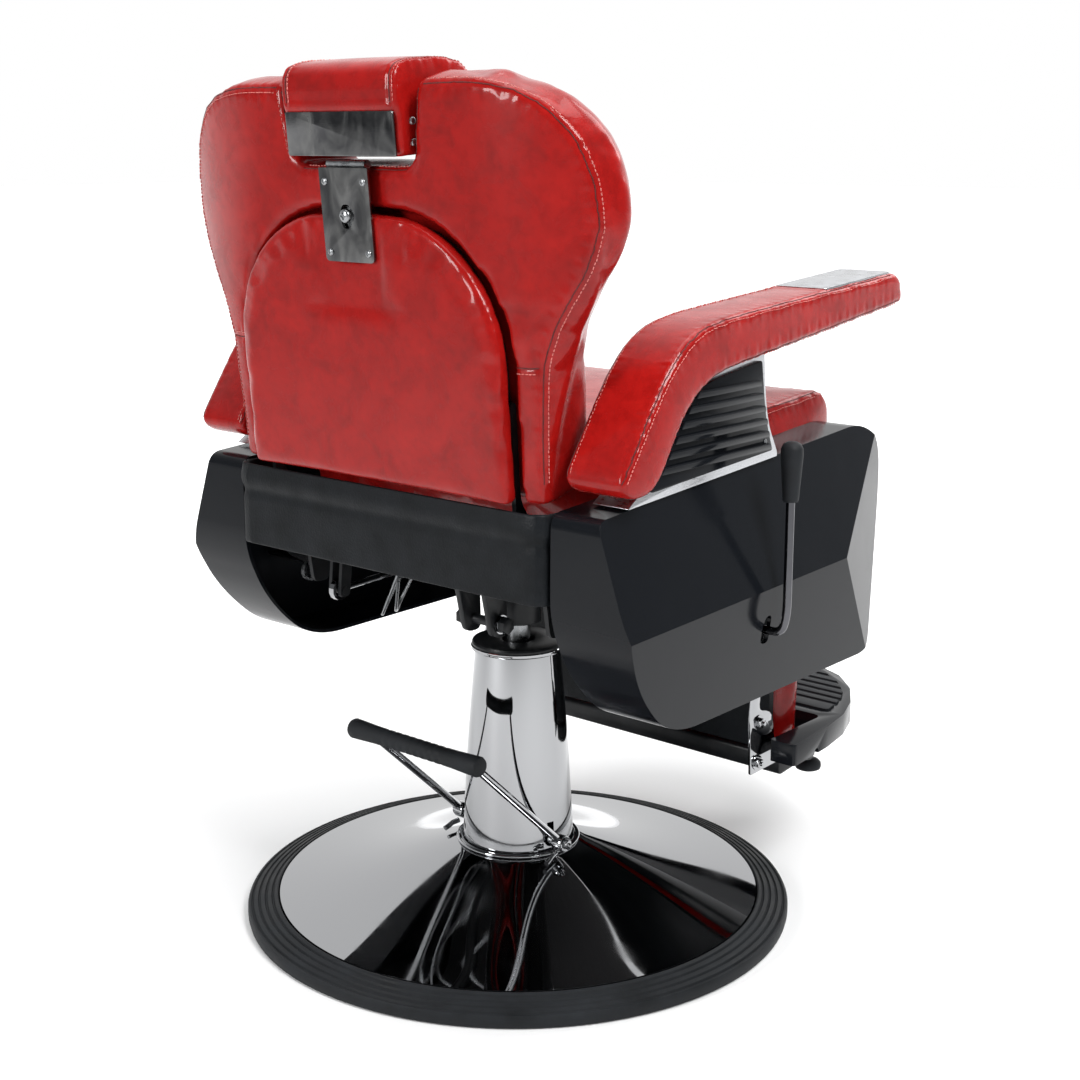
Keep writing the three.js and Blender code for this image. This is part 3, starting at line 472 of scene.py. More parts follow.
def rubber(name="rubber", base=(0.012, 0.0135, 0.0155)):
    """Dull rubber with a dusty bloom and a fine moulded texture."""
    made, nodes, links, shader = material(name, base, 0.6, Specular_IOR_Level=0.2)
    bloom = texture(nodes, links, "Noise", 16, Detail=7, Roughness=0.65)
    dark = tuple(c * 0.7 for c in base)
    light = tuple(c * 1.5 for c in base)
    links.new(ramp(nodes, links, bloom.outputs["Fac"], [(0.35, dark), (0.7, light)]),
              shader.inputs["Base Color"])
    links.new(ramp(nodes, links, bloom.outputs["Fac"], [(0.35, 0.5), (0.7, 0.7)]),
              shader.inputs["Roughness"])
    skin = texture(nodes, links, "Noise", 700, Detail=2)
    links.new(bump(nodes, links, skin.outputs["Fac"], 0.0002, 0.4), shader.inputs["Normal"])
    return made


def powder_coat():
    """Black powder coat: a fine orange peel with rubbed, slightly paler patches."""
    made, nodes, links, shader = material(
        "powder_coat", (0.01, 0.011, 0.012), 0.35, Specular_IOR_Level=0.25)
    rubbed = texture(nodes, links, "Noise", 40, Detail=5)
    links.new(ramp(nodes, links, rubbed.outputs["Fac"],
                   [(0.4, (0.008, 0.009, 0.010)), (0.8, (0.018, 0.019, 0.021))]),
              shader.inputs["Base Color"])
    peel = texture(nodes, links, "Noise", 900)
    links.new(bump(nodes, links, peel.outputs["Fac"], 0.0001, 0.5), shader.inputs["Normal"])
    return made


def metal(name, base, low, high, stretch=(1, 1, 1)):
    """Worked metal whose roughness and tint drift a little along its grain."""
    made, nodes, links, shader = material(name, base, low, 1.0)
    grain = texture(nodes, links, "Noise", 70, stretch, Detail=4)
    links.new(ramp(nodes, links, grain.outputs["Fac"], [(0.3, low), (0.7, high)]),
              shader.inputs["Roughness"])
    links.new(ramp(nodes, links, grain.outputs["Fac"],
                   [(0.3, tuple(c * 0.85 for c in base)), (0.7, base)]),
              shader.inputs["Base Color"])
    links.new(bump(nodes, links, grain.outputs["Fac"], 0.00004, 0.5), shader.inputs["Normal"])
    return made


def thread():
    """Pale pink sewing thread with a tight twist, with painted shade in the twist's grooves and
    painted highlight on its ridges.
    """
    made, nodes, links, shader = material("thread", (0.6, 0.16, 0.14), 0.6)
    twist = texture(nodes, links, "Wave", 900, Distortion=2)
    # Painted shade and highlight: the twist's height also sets its colour, dark red in the grooves
    # and pale pink on the ridges.
    links.new(ramp(nodes, links, twist.outputs["Fac"],
                   [(0.2, (0.45, 0.09, 0.08)), (0.7, (0.7, 0.25, 0.22))]),
              shader.inputs["Base Color"])
    links.new(bump(nodes, links, twist.outputs["Fac"], 0.0002, 0.5), shader.inputs["Normal"])
    return made


def dust_cover():
    """Black non-woven cloth stretched over the boards, fuzzy and unevenly dark."""
    made, nodes, links, shader = material("dust_cover", (0.012, 0.012, 0.013), 0.85)
    fuzz = texture(nodes, links, "Noise", 260, Detail=4)
    links.new(ramp(nodes, links, fuzz.outputs["Fac"],
                   [(0.3, (0.008, 0.008, 0.009)), (0.7, (0.02, 0.02, 0.022))]),
              shader.inputs["Base Color"])
    links.new(bump(nodes, links, fuzz.outputs["Fac"], 0.0003, 0.6), shader.inputs["Normal"])
    return made


def seam_shadow():
    """Painted shade: the dark colour of a thin tube laid where two panels of leather meet, standing
    for the shadow in the seam's groove.
    """
    made, nodes, links, shader = material("seam_shadow", (0.07, 0.002, 0.002), 0.6)
    drift = texture(nodes, links, "Noise", 200)
    links.new(ramp(nodes, links, drift.outputs["Fac"],
                   [(0.3, (0.04, 0.001, 0.001)), (0.7, (0.12, 0.004, 0.003))]),
              shader.inputs["Base Color"])
    return made


LOOKS = {
    "red_leather": red_leather(),
    "black_leather": black_leather(),
    "chrome": chrome(),
    "polished_steel": polished_steel(),
    "gloss_black": gloss_black(),
    "ring_rubber": rubber(),
    "black_steel": powder_coat(),
    "bare_steel": metal("bare_steel", (0.34, 0.35, 0.36), 0.2, 0.4),
    "dark_chrome": metal("dark_chrome", (0.12, 0.12, 0.13), 0.1, 0.18),
    "alloy": metal("alloy", (0.6, 0.61, 0.63), 0.22, 0.38, (1, 1, 6)),
    "dust_cover": dust_cover(),
    "seam_shadow": seam_shadow(),
    "thread": thread(),
}


def finished(piece, body, look, *nodes, slot=None):
    """Gives a piece its material and body, and hides the CAD nodes that it stands for; the slot
    argument is not used.
    """
    piece.data.materials.clear()
    piece.data.materials.append(LOOKS[look])
    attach(piece, body)
    if nodes:
        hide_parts(*nodes)
    return piece


def paint_cad_nodes():
    """Gives each CAD node that stays the look of its record slot."""
    slots = {part["node"]: part["material_slot"] for part in frame["record"]["subparts"]}
    for name, node in frame["nodes"].items():
        node.data.materials.clear()
        node.data.materials.append(LOOKS[slots[name]])


# -------------------------------------------------------------------- upholstery

def resampled(path, step):
    """Points a fixed step apart along a polyline, in metres."""
    points = [Vector(path[0])]
    carry = 0.0
    for a, b in zip(path, path[1:]):
        a, b = Vector(a), Vector(b)
        length = (b - a).length
        at = step - carry
        while at <= length:
            points.append(a.lerp(b, at / length))
            at += step
        carry = length - (at - step)
    return points


def skin_of(piece):
    return BVHTree.FromPolygons([v.co for v in piece.data.vertices],
                                [p.vertices for p in piece.data.polygons])


def along_seams(seams, step=0.002):
    """A search tree over all seam points, and the distance along the seam of each."""
    points, lengths = [], []
    for path in seams:
        for i, point in enumerate(resampled(path, step)):
            points.append(point)
            lengths.append(i * step)
    tree = kdtree.KDTree(len(points))
    for i, point in enumerate(points):
        tree.insert(point, i)
    tree.balance()
    return tree, lengths


def copy_of(node, name):
    return placed(name, frame["nodes"][node].data.copy())


def remeshed(piece, voxel):
    mod = piece.modifiers.new("cells", "REMESH")
    mod.mode = "VOXEL"
    mod.voxel_size = voxel * MM
    apply_modifiers(piece)
    mod = piece.modifiers.new("soften", "SMOOTH")
    mod.factor = 0.5
    mod.iterations = 3
    return apply_modifiers(piece)


def puffed(piece, seams, shrink, most, pressure, hold):
    """Blows the cover up by a cloth simulation, held at its seams and wherever hold says."""
    piece.data.update()
    start = [v.co.copy() for v in piece.data.vertices]
    inward = [v.co - v.normal * shrink * MM for v in piece.data.vertices]
    held = piece.vertex_groups.new(name="held")
    tree = along_seams(seams)[0] if seams else None
    for v in piece.data.vertices:
        at_seam = tree is not None and tree.find(v.co)[2] < 0.005
        if at_seam or (hold and hold(v.co)):
            held.add([v.index], 1.0, "REPLACE")
            inward[v.index] = v.co.copy()
    for v, co in zip(piece.data.vertices, inward):
        v.co = co
    mod = piece.modifiers.new("cloth", "CLOTH")
    cloth = mod.settings
    cloth.quality = 5
    cloth.mass = 0.25
    cloth.tension_stiffness = 25
    cloth.compression_stiffness = 25
    cloth.shear_stiffness = 12
    cloth.bending_stiffness = 1.2
    cloth.use_pressure = True
    cloth.uniform_pressure_force = pressure
    cloth.effector_weights.gravity = 0
    cloth.vertex_group_mass = "held"
    mod.collision_settings.use_collision = False
    mod.point_cache.frame_start = 1
    mod.point_cache.frame_end = CLOTH_STEPS
    scene = bpy.context.scene
    for step in range(1, CLOTH_STEPS + 1):
        scene.frame_set(step)
        bpy.context.view_layer.update()
    apply_modifiers(piece)
    scene.frame_set(1)
    for v, co in zip(piece.data.vertices, start):
        shift = v.co - co
        if shift.length > most * MM:
            v.co = co + shift.normalized() * most * MM
    piece.vertex_groups.clear()
    mod = piece.modifiers.new("settle", "SMOOTH")
    mod.factor = 0.5
    mod.iterations = 6
    apply_modifiers(piece)


def subdivided(piece):
    mod = piece.modifiers.new("finer", "SUBSURF")
    mod.levels = 1
    return apply_modifiers(piece)


def seamed(piece, seams, depth=2.0, width=3.2, pucker=0.35, wave=15.0):
    """Sinks the cover along its seams and gathers it in small puckers beside them."""
    tree, lengths = along_seams(seams)
    for v, normal in [(v, v.normal.copy()) for v in piece.data.vertices]:
        _, index, distance = tree.find(v.co)
        if distance > 0.03:
            continue
        d = distance / MM
        sunk = depth * math.exp(-(d / width) ** 2)
        phase = 2 * math.pi * lengths[index] / (wave * MM)
        gather = math.sin(phase) + 0.6 * math.sin(phase * 1.73 + 1.1)
        sunk += pucker * gather * math.exp(-((d - 8) / 7) ** 2)
        v.co -= normal * sunk * MM
    piece.data.update()


def cushion(node, seams=(), voxel=6, shrink=3, most=8, pressure=4.0, pucker=0.2,
            hold=None, shape=None, cut=None):
    """A padded piece grown from the CAD solid, simulated and seamed; it joins the node's body and
    hides the node.
    """
    piece = shape or copy_of(node, node + "_skin")
    if cut:
        boolean(piece, cut)
    piece = remeshed(piece, voxel)
    puffed(piece, seams, shrink, most, pressure, hold)
    subdivided(piece)
    if seams:
        seamed(piece, seams, pucker=pucker)
    smooth(piece, 180)
    body = frame["nodes"][node].parent.name.removeprefix("body:")
    finished(piece, body, "red_leather", node)
    return piece


def stitches(name, piece, seams, offset, body, spacing=4.6, length=3.3, radius=0.6):
    """Dark tubes of painted shade along the seams, and a row of thread beside each, every stitch a
    capsule on the leather.
    """
    bvh = skin_of(piece)
    verts, faces = [], []
    around = 6
    for path in seams:
        points = resampled(path, spacing * MM)
        for a, b in zip(points, points[1:]):
            place, normal, _, _ = bvh.find_nearest((a + b) / 2)
            ahead = (b - a).normalized()
            ahead = (ahead - normal * ahead.dot(normal)).normalized()
            across = ahead.cross(normal)
            spot, up, _, _ = bvh.find_nearest(place + across * offset * MM)
            centre = spot + up * radius * 0.5 * MM
            low = len(verts)
            for t, r in ((-0.5, 0.45), (-0.3, 1), (0.3, 1), (0.5, 0.45)):
                for k in range(around):
                    turn = 2 * math.pi * k / around
                    swing = across * math.cos(turn) + up * math.sin(turn)
                    verts.append(centre + ahead * t * length * MM + swing * r * radius * MM)
            for ring in range(3):
                for k in range(around):
                    n = (k + 1) % around
                    i, j = low + ring * around, low + (ring + 1) * around
                    faces.append([i + k, i + n, j + n, j + k])
            faces.append([low + k for k in range(around)][::-1])
            faces.append([low + 3 * around + k for k in range(around)])
    thread_piece = smooth(new_object(name, verts, faces, 1), 60)
    finished(thread_piece, body, "thread", slot="red_leather")
    # Painted shade: a thin dark tube laid along each seam stands for the shadow in its groove.
    lines = []
    for path in seams:
        line = [bvh.find_nearest(point)[0] for point in resampled(path, 0.004)]
        lines.append(tube("line", line, 0.0007, 6))
    creases = smooth(joined(name + "_crease", lines), 60)
    finished(creases, body, "seam_shadow", slot="red_leather")


def back_place(x, y, z):
    """A point of the back's own frame, in millimetres, put in the chair in metres."""
    return BACK_FRAME @ (Vector((x, y, z)) * MM)


WING = [(0, 242), (60, 243), (110, 246), (160, 250), (205, 268), (250, 297), (295, 312), (340, 309),
        (385, 294), (420, 262), (438, 226), (446, 185)]


def half_width(z):
    """Half width of the back at a height up it, read from the wing's outline."""
    for (z0, w0), (z1, w1) in zip(WING, WING[1:]):
        if z <= z1:
            return w0 + (w1 - w0) * max(0, z - z0) / (z1 - z0)
    return WING[-1][1]


def wing_bend(x):
    beyond = max(0, abs(x) - 170) / 142
    return -36 * beyond * beyond


def smoothed(points, rounds=2):
    """A polyline with its corners cut in turn."""
    for _ in range(rounds):
        cut = [points[0]]
        for a, b in zip(points, points[1:]):
            cut += [a.lerp(b, 0.25), a.lerp(b, 0.75)]
        points = cut + [points[-1]]
    return points


def back_seams():
    """Seam round the rear face, the cross seams at the waist, and the notch edges."""
    seams = []
    for _, side in SIDES:
        edge = [back_place(side * half_width(z), wing_bend(half_width(z)) - 1, z)
                for z in range(30, 440, 12)]
        edge += [back_place(side * x, wing_bend(x) - 1, z)
                 for x, z in ((214, 438), (180, 444), (140, 444), (114, 443))]
        notch = [back_place(side * (92 + 14 * (z - 360) / 84), -1, z)
                 for z in (438, 420, 400, 380, 366)]
        waist = [back_place(side * x, wing_bend(x), 153 + 0.04 * (x - 206))
                 for x in (208, 220, 232, 244)]
        seams += [smoothed(edge), notch, waist]
    seams.append([back_place(x, -1, 356) for x in range(-80, 81, 20)])
    return seams


def arm_seams(side):
    """The two long seams of an armrest, where its top and sides meet, and its end seams."""
    outline = [(-300, 812), (-100, 797), (70, 783), (106, 768), (146, 736), (185, 682), (222, 628)]
    under = [(-320, 778), (-150, 755), (50, 727), (78, 713), (104, 692), (150, 624), (176, 607)]
    seams = []
    for x in (ARM_INNER + 4, ARM_OUTER - 4):
        seams.append(smoothed([Vector((side * x, y, z)) * MM for y, z in outline]))
        seams.append(smoothed([Vector((side * x, y, z)) * MM for y, z in under]))
    return seams


def tipped(x, y, z):
    """A point on the level seat, in millimetres, tipped up to the front, in metres."""
    level = Vector((x, y + 100, z - 576.5))
    turned_point = Matrix.Rotation(-SEAT_TILT, 3, "X") @ level
    return (turned_point + Vector((0, -100, 576.5))) * MM


def seat_seams():
    """Top edge seam of the seat, round its front, and a seam low on the front."""
    top = [tipped(x, y, 642) for x, y in
           ((-238, 110), (-238, -100), (-238, -310), (-225, -332), (0, -334), (225, -332),
            (238, -310), (238, -100), (238, 110))]
    low = [tipped(x, -344, 540) for x in range(-225, 226, 50)]
    return [smoothed(top, 1), low]


def headrest_seams():
    """Cheek seams that close the roll at both ends."""
    seams = []
    for _, side in SIDES:
        ring = [(14, 425), (15, 445), (8, 462), (-12, 470), (-50, 469), (-84, 460), (-106, 436),
                (-110, 405), (-98, 380), (-80, 370)]
        seams.append(smoothed([back_place(side * 80, y, z) for y, z in ring]))
    return seams


def calf_seams():
    """Front edge seams of the calf pad."""
    ring = [(-216, 188), (-216, 392), (216, 392), (216, 188), (-216, 188)]
    return [[Vector((x, -312, z)) * MM for x, z in ring]]


def in_back(co):
    """A place in the chair, in metres, read in the back's own frame in millimetres."""
    return BACK_FRAME.inverted() @ co / MM


def arch_half(z):
    """Half width of the arched cover at a height up the back."""
    rise = min(1, max(0, (z - 165) / 146))
    return 60 + 146 * math.sqrt(1 - rise ** 2.2)


def by_the_cover(co):
    """True on the back cushion where the arched cover sits in it, and under the guide."""
    x, y, z = in_back(co)
    return under_guide(co) or (y > -45 and z < 318 and abs(x) < arch_half(z) + 9)


def bezier(*points, steps=20):
    """Points along a Bezier curve through two end points and its inner handles."""
    made = []
    for k in range(1, steps + 1):
        row = [Vector(p) for p in points]
        while len(row) > 1:
            row = [a.lerp(b, k / steps) for a, b in zip(row, row[1:])]
        made.append(row[0])
    return made


def arch(grow):
    """Outline of the arched cover, in the back's own X and Z."""
    w, top = 206 + grow, 308 + grow
    right = bezier((w, 165), (w - 6, 240), (w - 66, top - 12), (66, top - 2))
    middle = bezier((66, top - 2), (0, top + 3), (-66, top - 2))
    left = bezier((-66, top - 2), (66 - w, top - 12), (6 - w, 240), (-w, 165))
    return [Vector((-w, 2 - 3 * grow)), Vector((w, 2 - 3 * grow)), Vector((w, 165)),
            *right, *middle, *left]


def arched_cover():
    """The cover as drawn, with its edges rounded and the headrest bar's groove."""
    cover = bevelled(prism("back_cover_skin", arch(-1), "Y", -10, 10), 4, 4, 50)
    boolean(cover, block("groove", (-21, 0, 258), (21, 30, 330)))
    cover.data.transform(BACK_FRAME)
    return cover


def pocket():
    hollow = prism("pocket", arch(4.5), "Y", -28, 30)
    hollow.data.transform(BACK_FRAME)
    return hollow


def under_guide(co):
    x, y, z = in_back(co)
    return abs(x) < 46 and y > -14 and z > 205


def behind_tray(co):
    _, y, z = in_back(co)
    return y > 2 and z < 424


def upholstery():
    seams = back_seams()
    back = cushion("back_cushion", seams, shrink=1, most=6, pressure=3, hold=by_the_cover,
                   cut=pocket())
    stitches("back_thread", back, seams, 6, "backrest")
    cushion("back_cover", voxel=4, shrink=0, most=3, pressure=1.5, hold=under_guide,
            shape=arched_cover())
    for label, side in SIDES:
        seams = arm_seams(side)
        pad = cushion(f"armrest_pad_{label}", seams, voxel=5, shrink=2, most=4, pressure=3,
                      hold=lambda co: co.y < -0.15 and co.z > 0.796)
        stitches(f"armrest_thread_{label}", pad, seams, 6 * side, "seat")
    seams = seat_seams()
    seat = cushion("seat_cushion", seams, shrink=3, most=10)
    stitches("seat_thread", seat, seams, 6, "seat")
    seams = headrest_seams()
    head = cushion("headrest_pad", seams, voxel=4, shrink=1.5, most=4, pressure=3,
                   hold=behind_tray)
    stitches("headrest_thread", head, seams, 5, "headrest")
    seams = calf_seams()
    calf = cushion("calf_pad", seams, voxel=5, shrink=2, most=6, pressure=3)
    stitches("calf_thread", calf, seams, 5, "legrest")


def apron():
    """Black apron under the back, with a soft crease along its upper third."""
    piece = remeshed(copy_of("back_apron", "back_apron_skin"), 3)
    crease_z = 0.556
    for v in piece.data.vertices:
        out = v.normal.copy()
        swell = 2.5 * math.exp(-((v.co.z - crease_z - 0.012) / 0.01) ** 2)
        sink = 2.0 * math.exp(-((v.co.z - crease_z + 0.004) / 0.006) ** 2)
        wander = 0.6 * math.sin(v.co.x * 31) + 0.4 * math.sin(v.co.x * 83 + 1)
        if out.y > 0.2 or abs(out.x) > 0.7:
            v.co += out * (swell - sink + wander * 0.4) * MM
    piece.data.update()
    subdivided(piece)
    smooth(piece, 180)
    return finished(piece, "backrest", "black_leather", "back_apron")


# -------------------------------------------------------------------------- base

def base():
    ring_steps = [(302, 0), (346, 0), (349, 2), (350, 6), (350, 14), (348.5, 17)]
    for i in range(4):
        r, z = 346 - i * 8.6, 17.5 + i * 2.4
        ring_steps += [(r, z), (r - 1.4, z - 1.6), (r - 2.6, z - 1.6), (r - 4, z + 0.9)]
    ring_steps += [(313, 27), (311.5, 26.5), (310.6, 24), (310.6, 18), (302, 18)]
    ring = turned("rubber_ring", ring_steps, 160, closed=True)
    finished(ring, "base", "ring_rubber", "base_rubber_ring")

    outer = [(DOME_EDGE - 1.2, 19), (DOME_EDGE - 0.4, 24)]
    for i in range(37):
        t = i / 36
        r = DOME_EDGE - 1 + (82 - DOME_EDGE) * t
        outer.append((r, 27 + 59 * t - 7 * math.sin(math.pi * t)))
    dome = turned("dome", outer + [(77, 87), (77, 84)] +
                  [(r - 1, z - 3) for r, z in outer[:1:-1]] + [(DOME_EDGE - 3, 19)], 192, True)
    finished(smooth(dome, 60), "base", "chrome", "base_dome")

    bead = [(68, 84.5), (76, 84.5), (76, 87.6)]
    bead += [(77.4 + 2.6 * math.cos(a), 89.8 + 2.2 * math.sin(a)) for a in
             (-1.2, -0.8, -0.4, 0, 0.4, 0.8, 1.2, 1.6)]
    bead += [(74.5, 91.9), (72.8, 91), (72.6, 88), (68, 88)]
    finished(turned("foot_bead", bead, 128, True), "base", "chrome", "base_collar")

    outer = []
    for i in range(25):
        t = i / 24
        radius = 71.6 + (54 - 71.6) * t + 1.6 * math.sin(math.pi * t)
        outer.append((radius, SLEEVE_FOOT_Z + (SLEEVE_TOP_Z - SLEEVE_FOOT_Z) * t))
    inner = [(r - 2.5, z) for r, z in outer[::-1]]
    sleeve = turned("sleeve", outer + inner, 128, True)
    keyhole = bar("keyhole", (-0.095, 0.015, 0.105), (0.095, 0.015, 0.105), 0.009)
    boolean(sleeve, keyhole)
    boolean(sleeve, block("keyway", (-95, 10, 105), (95, 20, 128)))
    finished(smooth(sleeve, 40), "base", "chrome", "column_sleeve")

    cap = [(20, 346.6), (56, 346.6), (58, 348), (58.2, 351), (57, 353.4), (54, 354.4),
           (24, 354.6), (20, 353.5)]
    finished(turned("sleeve_cap_top", cap, 96, True), "base", "black_steel", "sleeve_cap")
    rim = [(55, 343), (58.6, 343), (59.4, 344.4), (59.4, 347.4), (58.6, 348.4), (57.9, 347.6),
           (57.6, 345.4), (55, 345.2)]
    finished(turned("sleeve_rim", rim, 96, True), "base", "chrome")
    ram = [(0, 130), (15.9, 130), (15.9, 411), (0, 411)]
    finished(turned("ram", ram, 64), "lift", "bare_steel", "pump_ram")


def pump_lever():
    """U-shaped lever with flattened eyes, and its long rubber grip."""
    side, bend_y, bend_z, bar_y, bar_z = 85, 172, 250, 186, 259
    points = [(-side, LEVER_AXIS_Y, LEVER_AXIS_Z), (-side, bend_y, bend_z), (-100, bar_y, bar_z),
              (100, bar_y, bar_z), (side, bend_y, bend_z), (side, LEVER_AXIS_Y, LEVER_AXIS_Z)]
    path = bent_path(in_metres(points), 0.009)
    parts = [tube("lever_rod", path, 0.005)]
    for s in (-1, 1):
        eye = bar("eye", (s * 0.0775, 0.015, 0.105), (s * 0.0925, 0.015, 0.105), 0.0105)
        parts.append(bevelled(eye, 1.2, 2))
    lever = joined("lever", parts)
    finished(smooth(lever, 40), "pump_lever", "chrome", "pump_lever")
    for s in (-1, 1):
        at = (s * 93, LEVER_AXIS_Y, LEVER_AXIS_Z)
        nut = hex_bolt(f"lever_nut_{'left' if s > 0 else 'right'}", at, (s, 0, 0), 6.5, 3.5, 9)
        finished(nut, "pump_lever", "chrome")

    half, end = 108, 12.5
    profile = [(0, -half), (end - 5, -half), (end - 1.5, -half + 1), (end, -half + 4),
               (end - 0.3, -half + 14), (end - 1.4, -half + 40)]
    for z in range(-48, 49, 12):
        profile += [(end - 1.6, z - 4), (end - 2.1, z - 1), (end - 2.1, z + 1), (end - 1.6, z + 4)]
    profile += [(r, -z) for r, z in profile[5::-1]]
    grip = turned("lever_rubber", profile, 32)
    grip.data.transform(Matrix.Rotation(math.radians(90), 4, "Y"))
    moved(grip, 0, bar_y, bar_z)
    finished(grip, "pump_lever", "ring_rubber", "pump_lever_grip")


# ------------------------------------------------------------------- side panels

def panel_outline(inset):
    d = inset
    return rounded([
        (228 - d, 587 - d, 16), (-304 + d, 626 - d, 34), (-346 + d, 592 - d, 24),
        (-349 + d, 545, 60), (-297 + d, 337 + d, 26),
        (126, 333 + d, 55), (196 - d, 398, 55), (229 - d, 470, 30)], 12)


def panel_body(name, inset):
    """The outline's prism cut to two long facets and a slanted front facet."""
    rear_top, front_top, crease, rear_foot, front_foot = (
        x - inset for x in (294, 302, 356, 334, 331))
    inner = 250 - (12 if inset else 0)
    corners = [
        (rear_top, 240, 640), (front_top, -357, 640), (crease, 240, 462), (crease, -197, 479),
        (rear_foot, 240, 325), (front_foot, -300, 325), (inner, 262, 640),
        (inner, -530, 640), (inner, 262, 325), (inner, -569, 325)]
    hull = new_object(name, corners)
    bm = bmesh.new()
    bm.from_mesh(hull.data)
    bmesh.ops.convex_hull(bm, input=bm.verts)
    bmesh.ops.dissolve_limit(bm, angle_limit=0.02, verts=bm.verts, edges=bm.edges)
    bm.to_mesh(hull.data)
    bm.free()
    return boolean(hull, prism("cutter", panel_outline(inset), "X", inner, 366), "INTERSECT")


def side_panels():
    shell = boolean(panel_body("side_shell_left", 0), panel_body("hollow", PANEL_WALL))
    edit(shell, lambda bm: bmesh.ops.dissolve_limit(
        bm, angle_limit=0.01, verts=bm.verts, edges=bm.edges))
    right = mirrored(shell, "side_shell_right")
    slot = prism("slot", rounded([(-46, 405, 7), (-30, 405, 7), (-29, 424, 8), (-33, 439, 7),
                                  (-45, 439, 7)]), "X", -400, -300)
    boolean(right, slot)
    for shell_piece, label in ((shell, "left"), (right, "right")):
        bevelled(shell_piece, 3, 3, 14, even=True)
        finished(shell_piece, "seat", "gloss_black", f"side_panel_{label}")


# --------------------------------------------------------------------- fittings

def refined(node, width=1.0, angle=28, look=None):
    """The CAD node's own shape with flat faces merged and its edges rounded."""
    piece = copy_of(node, node + "_fine")

    def clean(bm):
        bmesh.ops.remove_doubles(bm, verts=bm.verts, dist=0.00002)
        bmesh.ops.dissolve_limit(bm, angle_limit=math.radians(1), verts=bm.verts, edges=bm.edges)
    edit(piece, clean)
    smooth(bevelled(piece, width, 2, angle), 32)
    slots = {part["node"]: part["material_slot"] for part in frame["record"]["subparts"]}
    body = frame["nodes"][node].parent.name.removeprefix("body:")
    return finished(piece, body, look or slots[node], node, slot=slots[node])


def armrests():
    """Alloy supports with their ridged black inserts, and the plates on top."""
    outline = rounded([
        (-66, 737.5, 2), (-74, 660, 40), (-98, 618, 4), (-98, 612.5, 1), (182, 592.8, 4),
        (156, 609.5, 8), (100, 695, 36), (54, 722, 30)], 8)
    face = [(-56, 728, 4), (-66, 662, 30), (-82, 622, 4), (148, 606, 6), (94, 692, 30), (50, 714, 26)]
    for label, side in SIDES:
        low, high = sorted((side * 268, side * 316))
        support = bevelled(prism(f"arm_bracket_{label}", outline, "X", low, high), 1.5, 3, 25)
        finished(support, "seat", "alloy", f"armrest_support_{label}")
        low, high = sorted((side * 316.4, side * 320.5))
        insert = bevelled(prism(f"arm_insert_{label}", rounded(face, 8), "X", low, high), 1, 2, 25)
        ridges = []
        for i in range(6):
            z = 624 + i * 15
            left_y = -80 + 4.5 * i if i < 5 else -56
            right_y = 142 - 11.5 * i - (3 if i > 4 else 0)
            ridge = prism("ridge", rounded([(left_y + 6, z, 3), (right_y - 6, z, 3),
                                            (right_y - 12, z + 8, 3), (left_y + 8, z + 8, 3)], 4),
                          "X", *sorted((side * 320, side * 325)))
            ridges.append(bevelled(ridge, 1.2, 2, 25))
        insert = joined(f"arm_ridges_{label}", [insert, *ridges])
        finished(smooth(insert, 35), "seat", "gloss_black", f"armrest_insert_{label}")
        finished(screw(f"arm_screw_{label}", (side * 320.3, -66, 634), (side, 0, 0), 3, 1.6),
                 "seat", "bare_steel")
        refined(f"armrest_plate_{label}", 0.6, look="alloy")


def recline_lever():
    x, y = 375, -38
    points = [(-226, y, 422), (-x + 6, y, 422), (-x, y, 446), (-x, y, 628)]
    path = bent_path(in_metres(points), 0.012)
    finished(tube("recline_rod", path, 0.005), "recline_lever", "dark_chrome", "recline_lever",
             slot="black_steel")
    profile = [(0, 576), (8.2, 576), (9.2, 578), (9.6, 586), (11.5, 612), (12.8, 628),
               (12.4, 636), (10, 641), (6, 643.5), (0, 644)]
    grip = turned("recline_handle", profile, 48)
    moved(grip, -x, y, 0)
    finished(smooth(grip, 60), "recline_lever", "ring_rubber", "recline_lever_grip")


def headrest_fittings():
    """Guide plate with its slot, screws and bent lip, the catch, and the steel tray."""
    low, high = 256, 357
    outline = rounded([(-38, low, 6), (38, low, 6), (38, high, 2), (-38, high, 2)], 6)
    plate = prism("guide_plate", outline, "Y", 11, 13.5)
    lip = block("lip", (-38, 8.5, high - 4), (38, 13.5, high))
    plate = boolean(plate, lip, "UNION")
    slot = rounded([(-8, low + 36, 8), (8, low + 36, 8), (8, low + 62, 8), (-8, low + 62, 8)], 8)
    boolean(plate, prism("slot", slot, "Y", 0, 30))
    bevelled(plate, 0.8, 3, 30)
    plate.data.transform(BACK_FRAME)
    finished(plate, "backrest", "polished_steel", "headrest_guide", slot="chrome")
    rear = (BACK_FRAME.to_3x3() @ Vector((0, 1, 0)))
    for i, (x, z) in enumerate(((-30, low + 10), (30, low + 10), (-30, high - 15), (30, high - 15))):
        at = back_place(x, 13.5, z) / MM
        finished(screw(f"guide_screw_{i}", at, rear, 4, 2.2), "backrest", "bare_steel")
    catch = screw("catch_head", back_place(0, 14.5, low + 50) / MM, rear, 7.5, 4.5)
    finished(catch, "backrest", "bare_steel", "headrest_catch", slot="chrome")
    tray = prism("tray", rounded([(-84, 369, 3), (84, 369, 3), (84, 416, 3), (-84, 416, 3)], 4),
                 "Y", 10.6, 14)
    bevelled(tray, 1.2, 3, 30)
    tray.data.transform(BACK_FRAME)
    finished(tray, "headrest", "polished_steel", "headrest_plate")
    for i, z in enumerate((382, 404)):
        for label, side in SIDES:
            at = back_place(side * 90.5, -8, z) / MM
            finished(screw(f"cheek_screw_{label}_{i}", at, (side, 0, 0), 4, 2),
                     "headrest", "bare_steel")


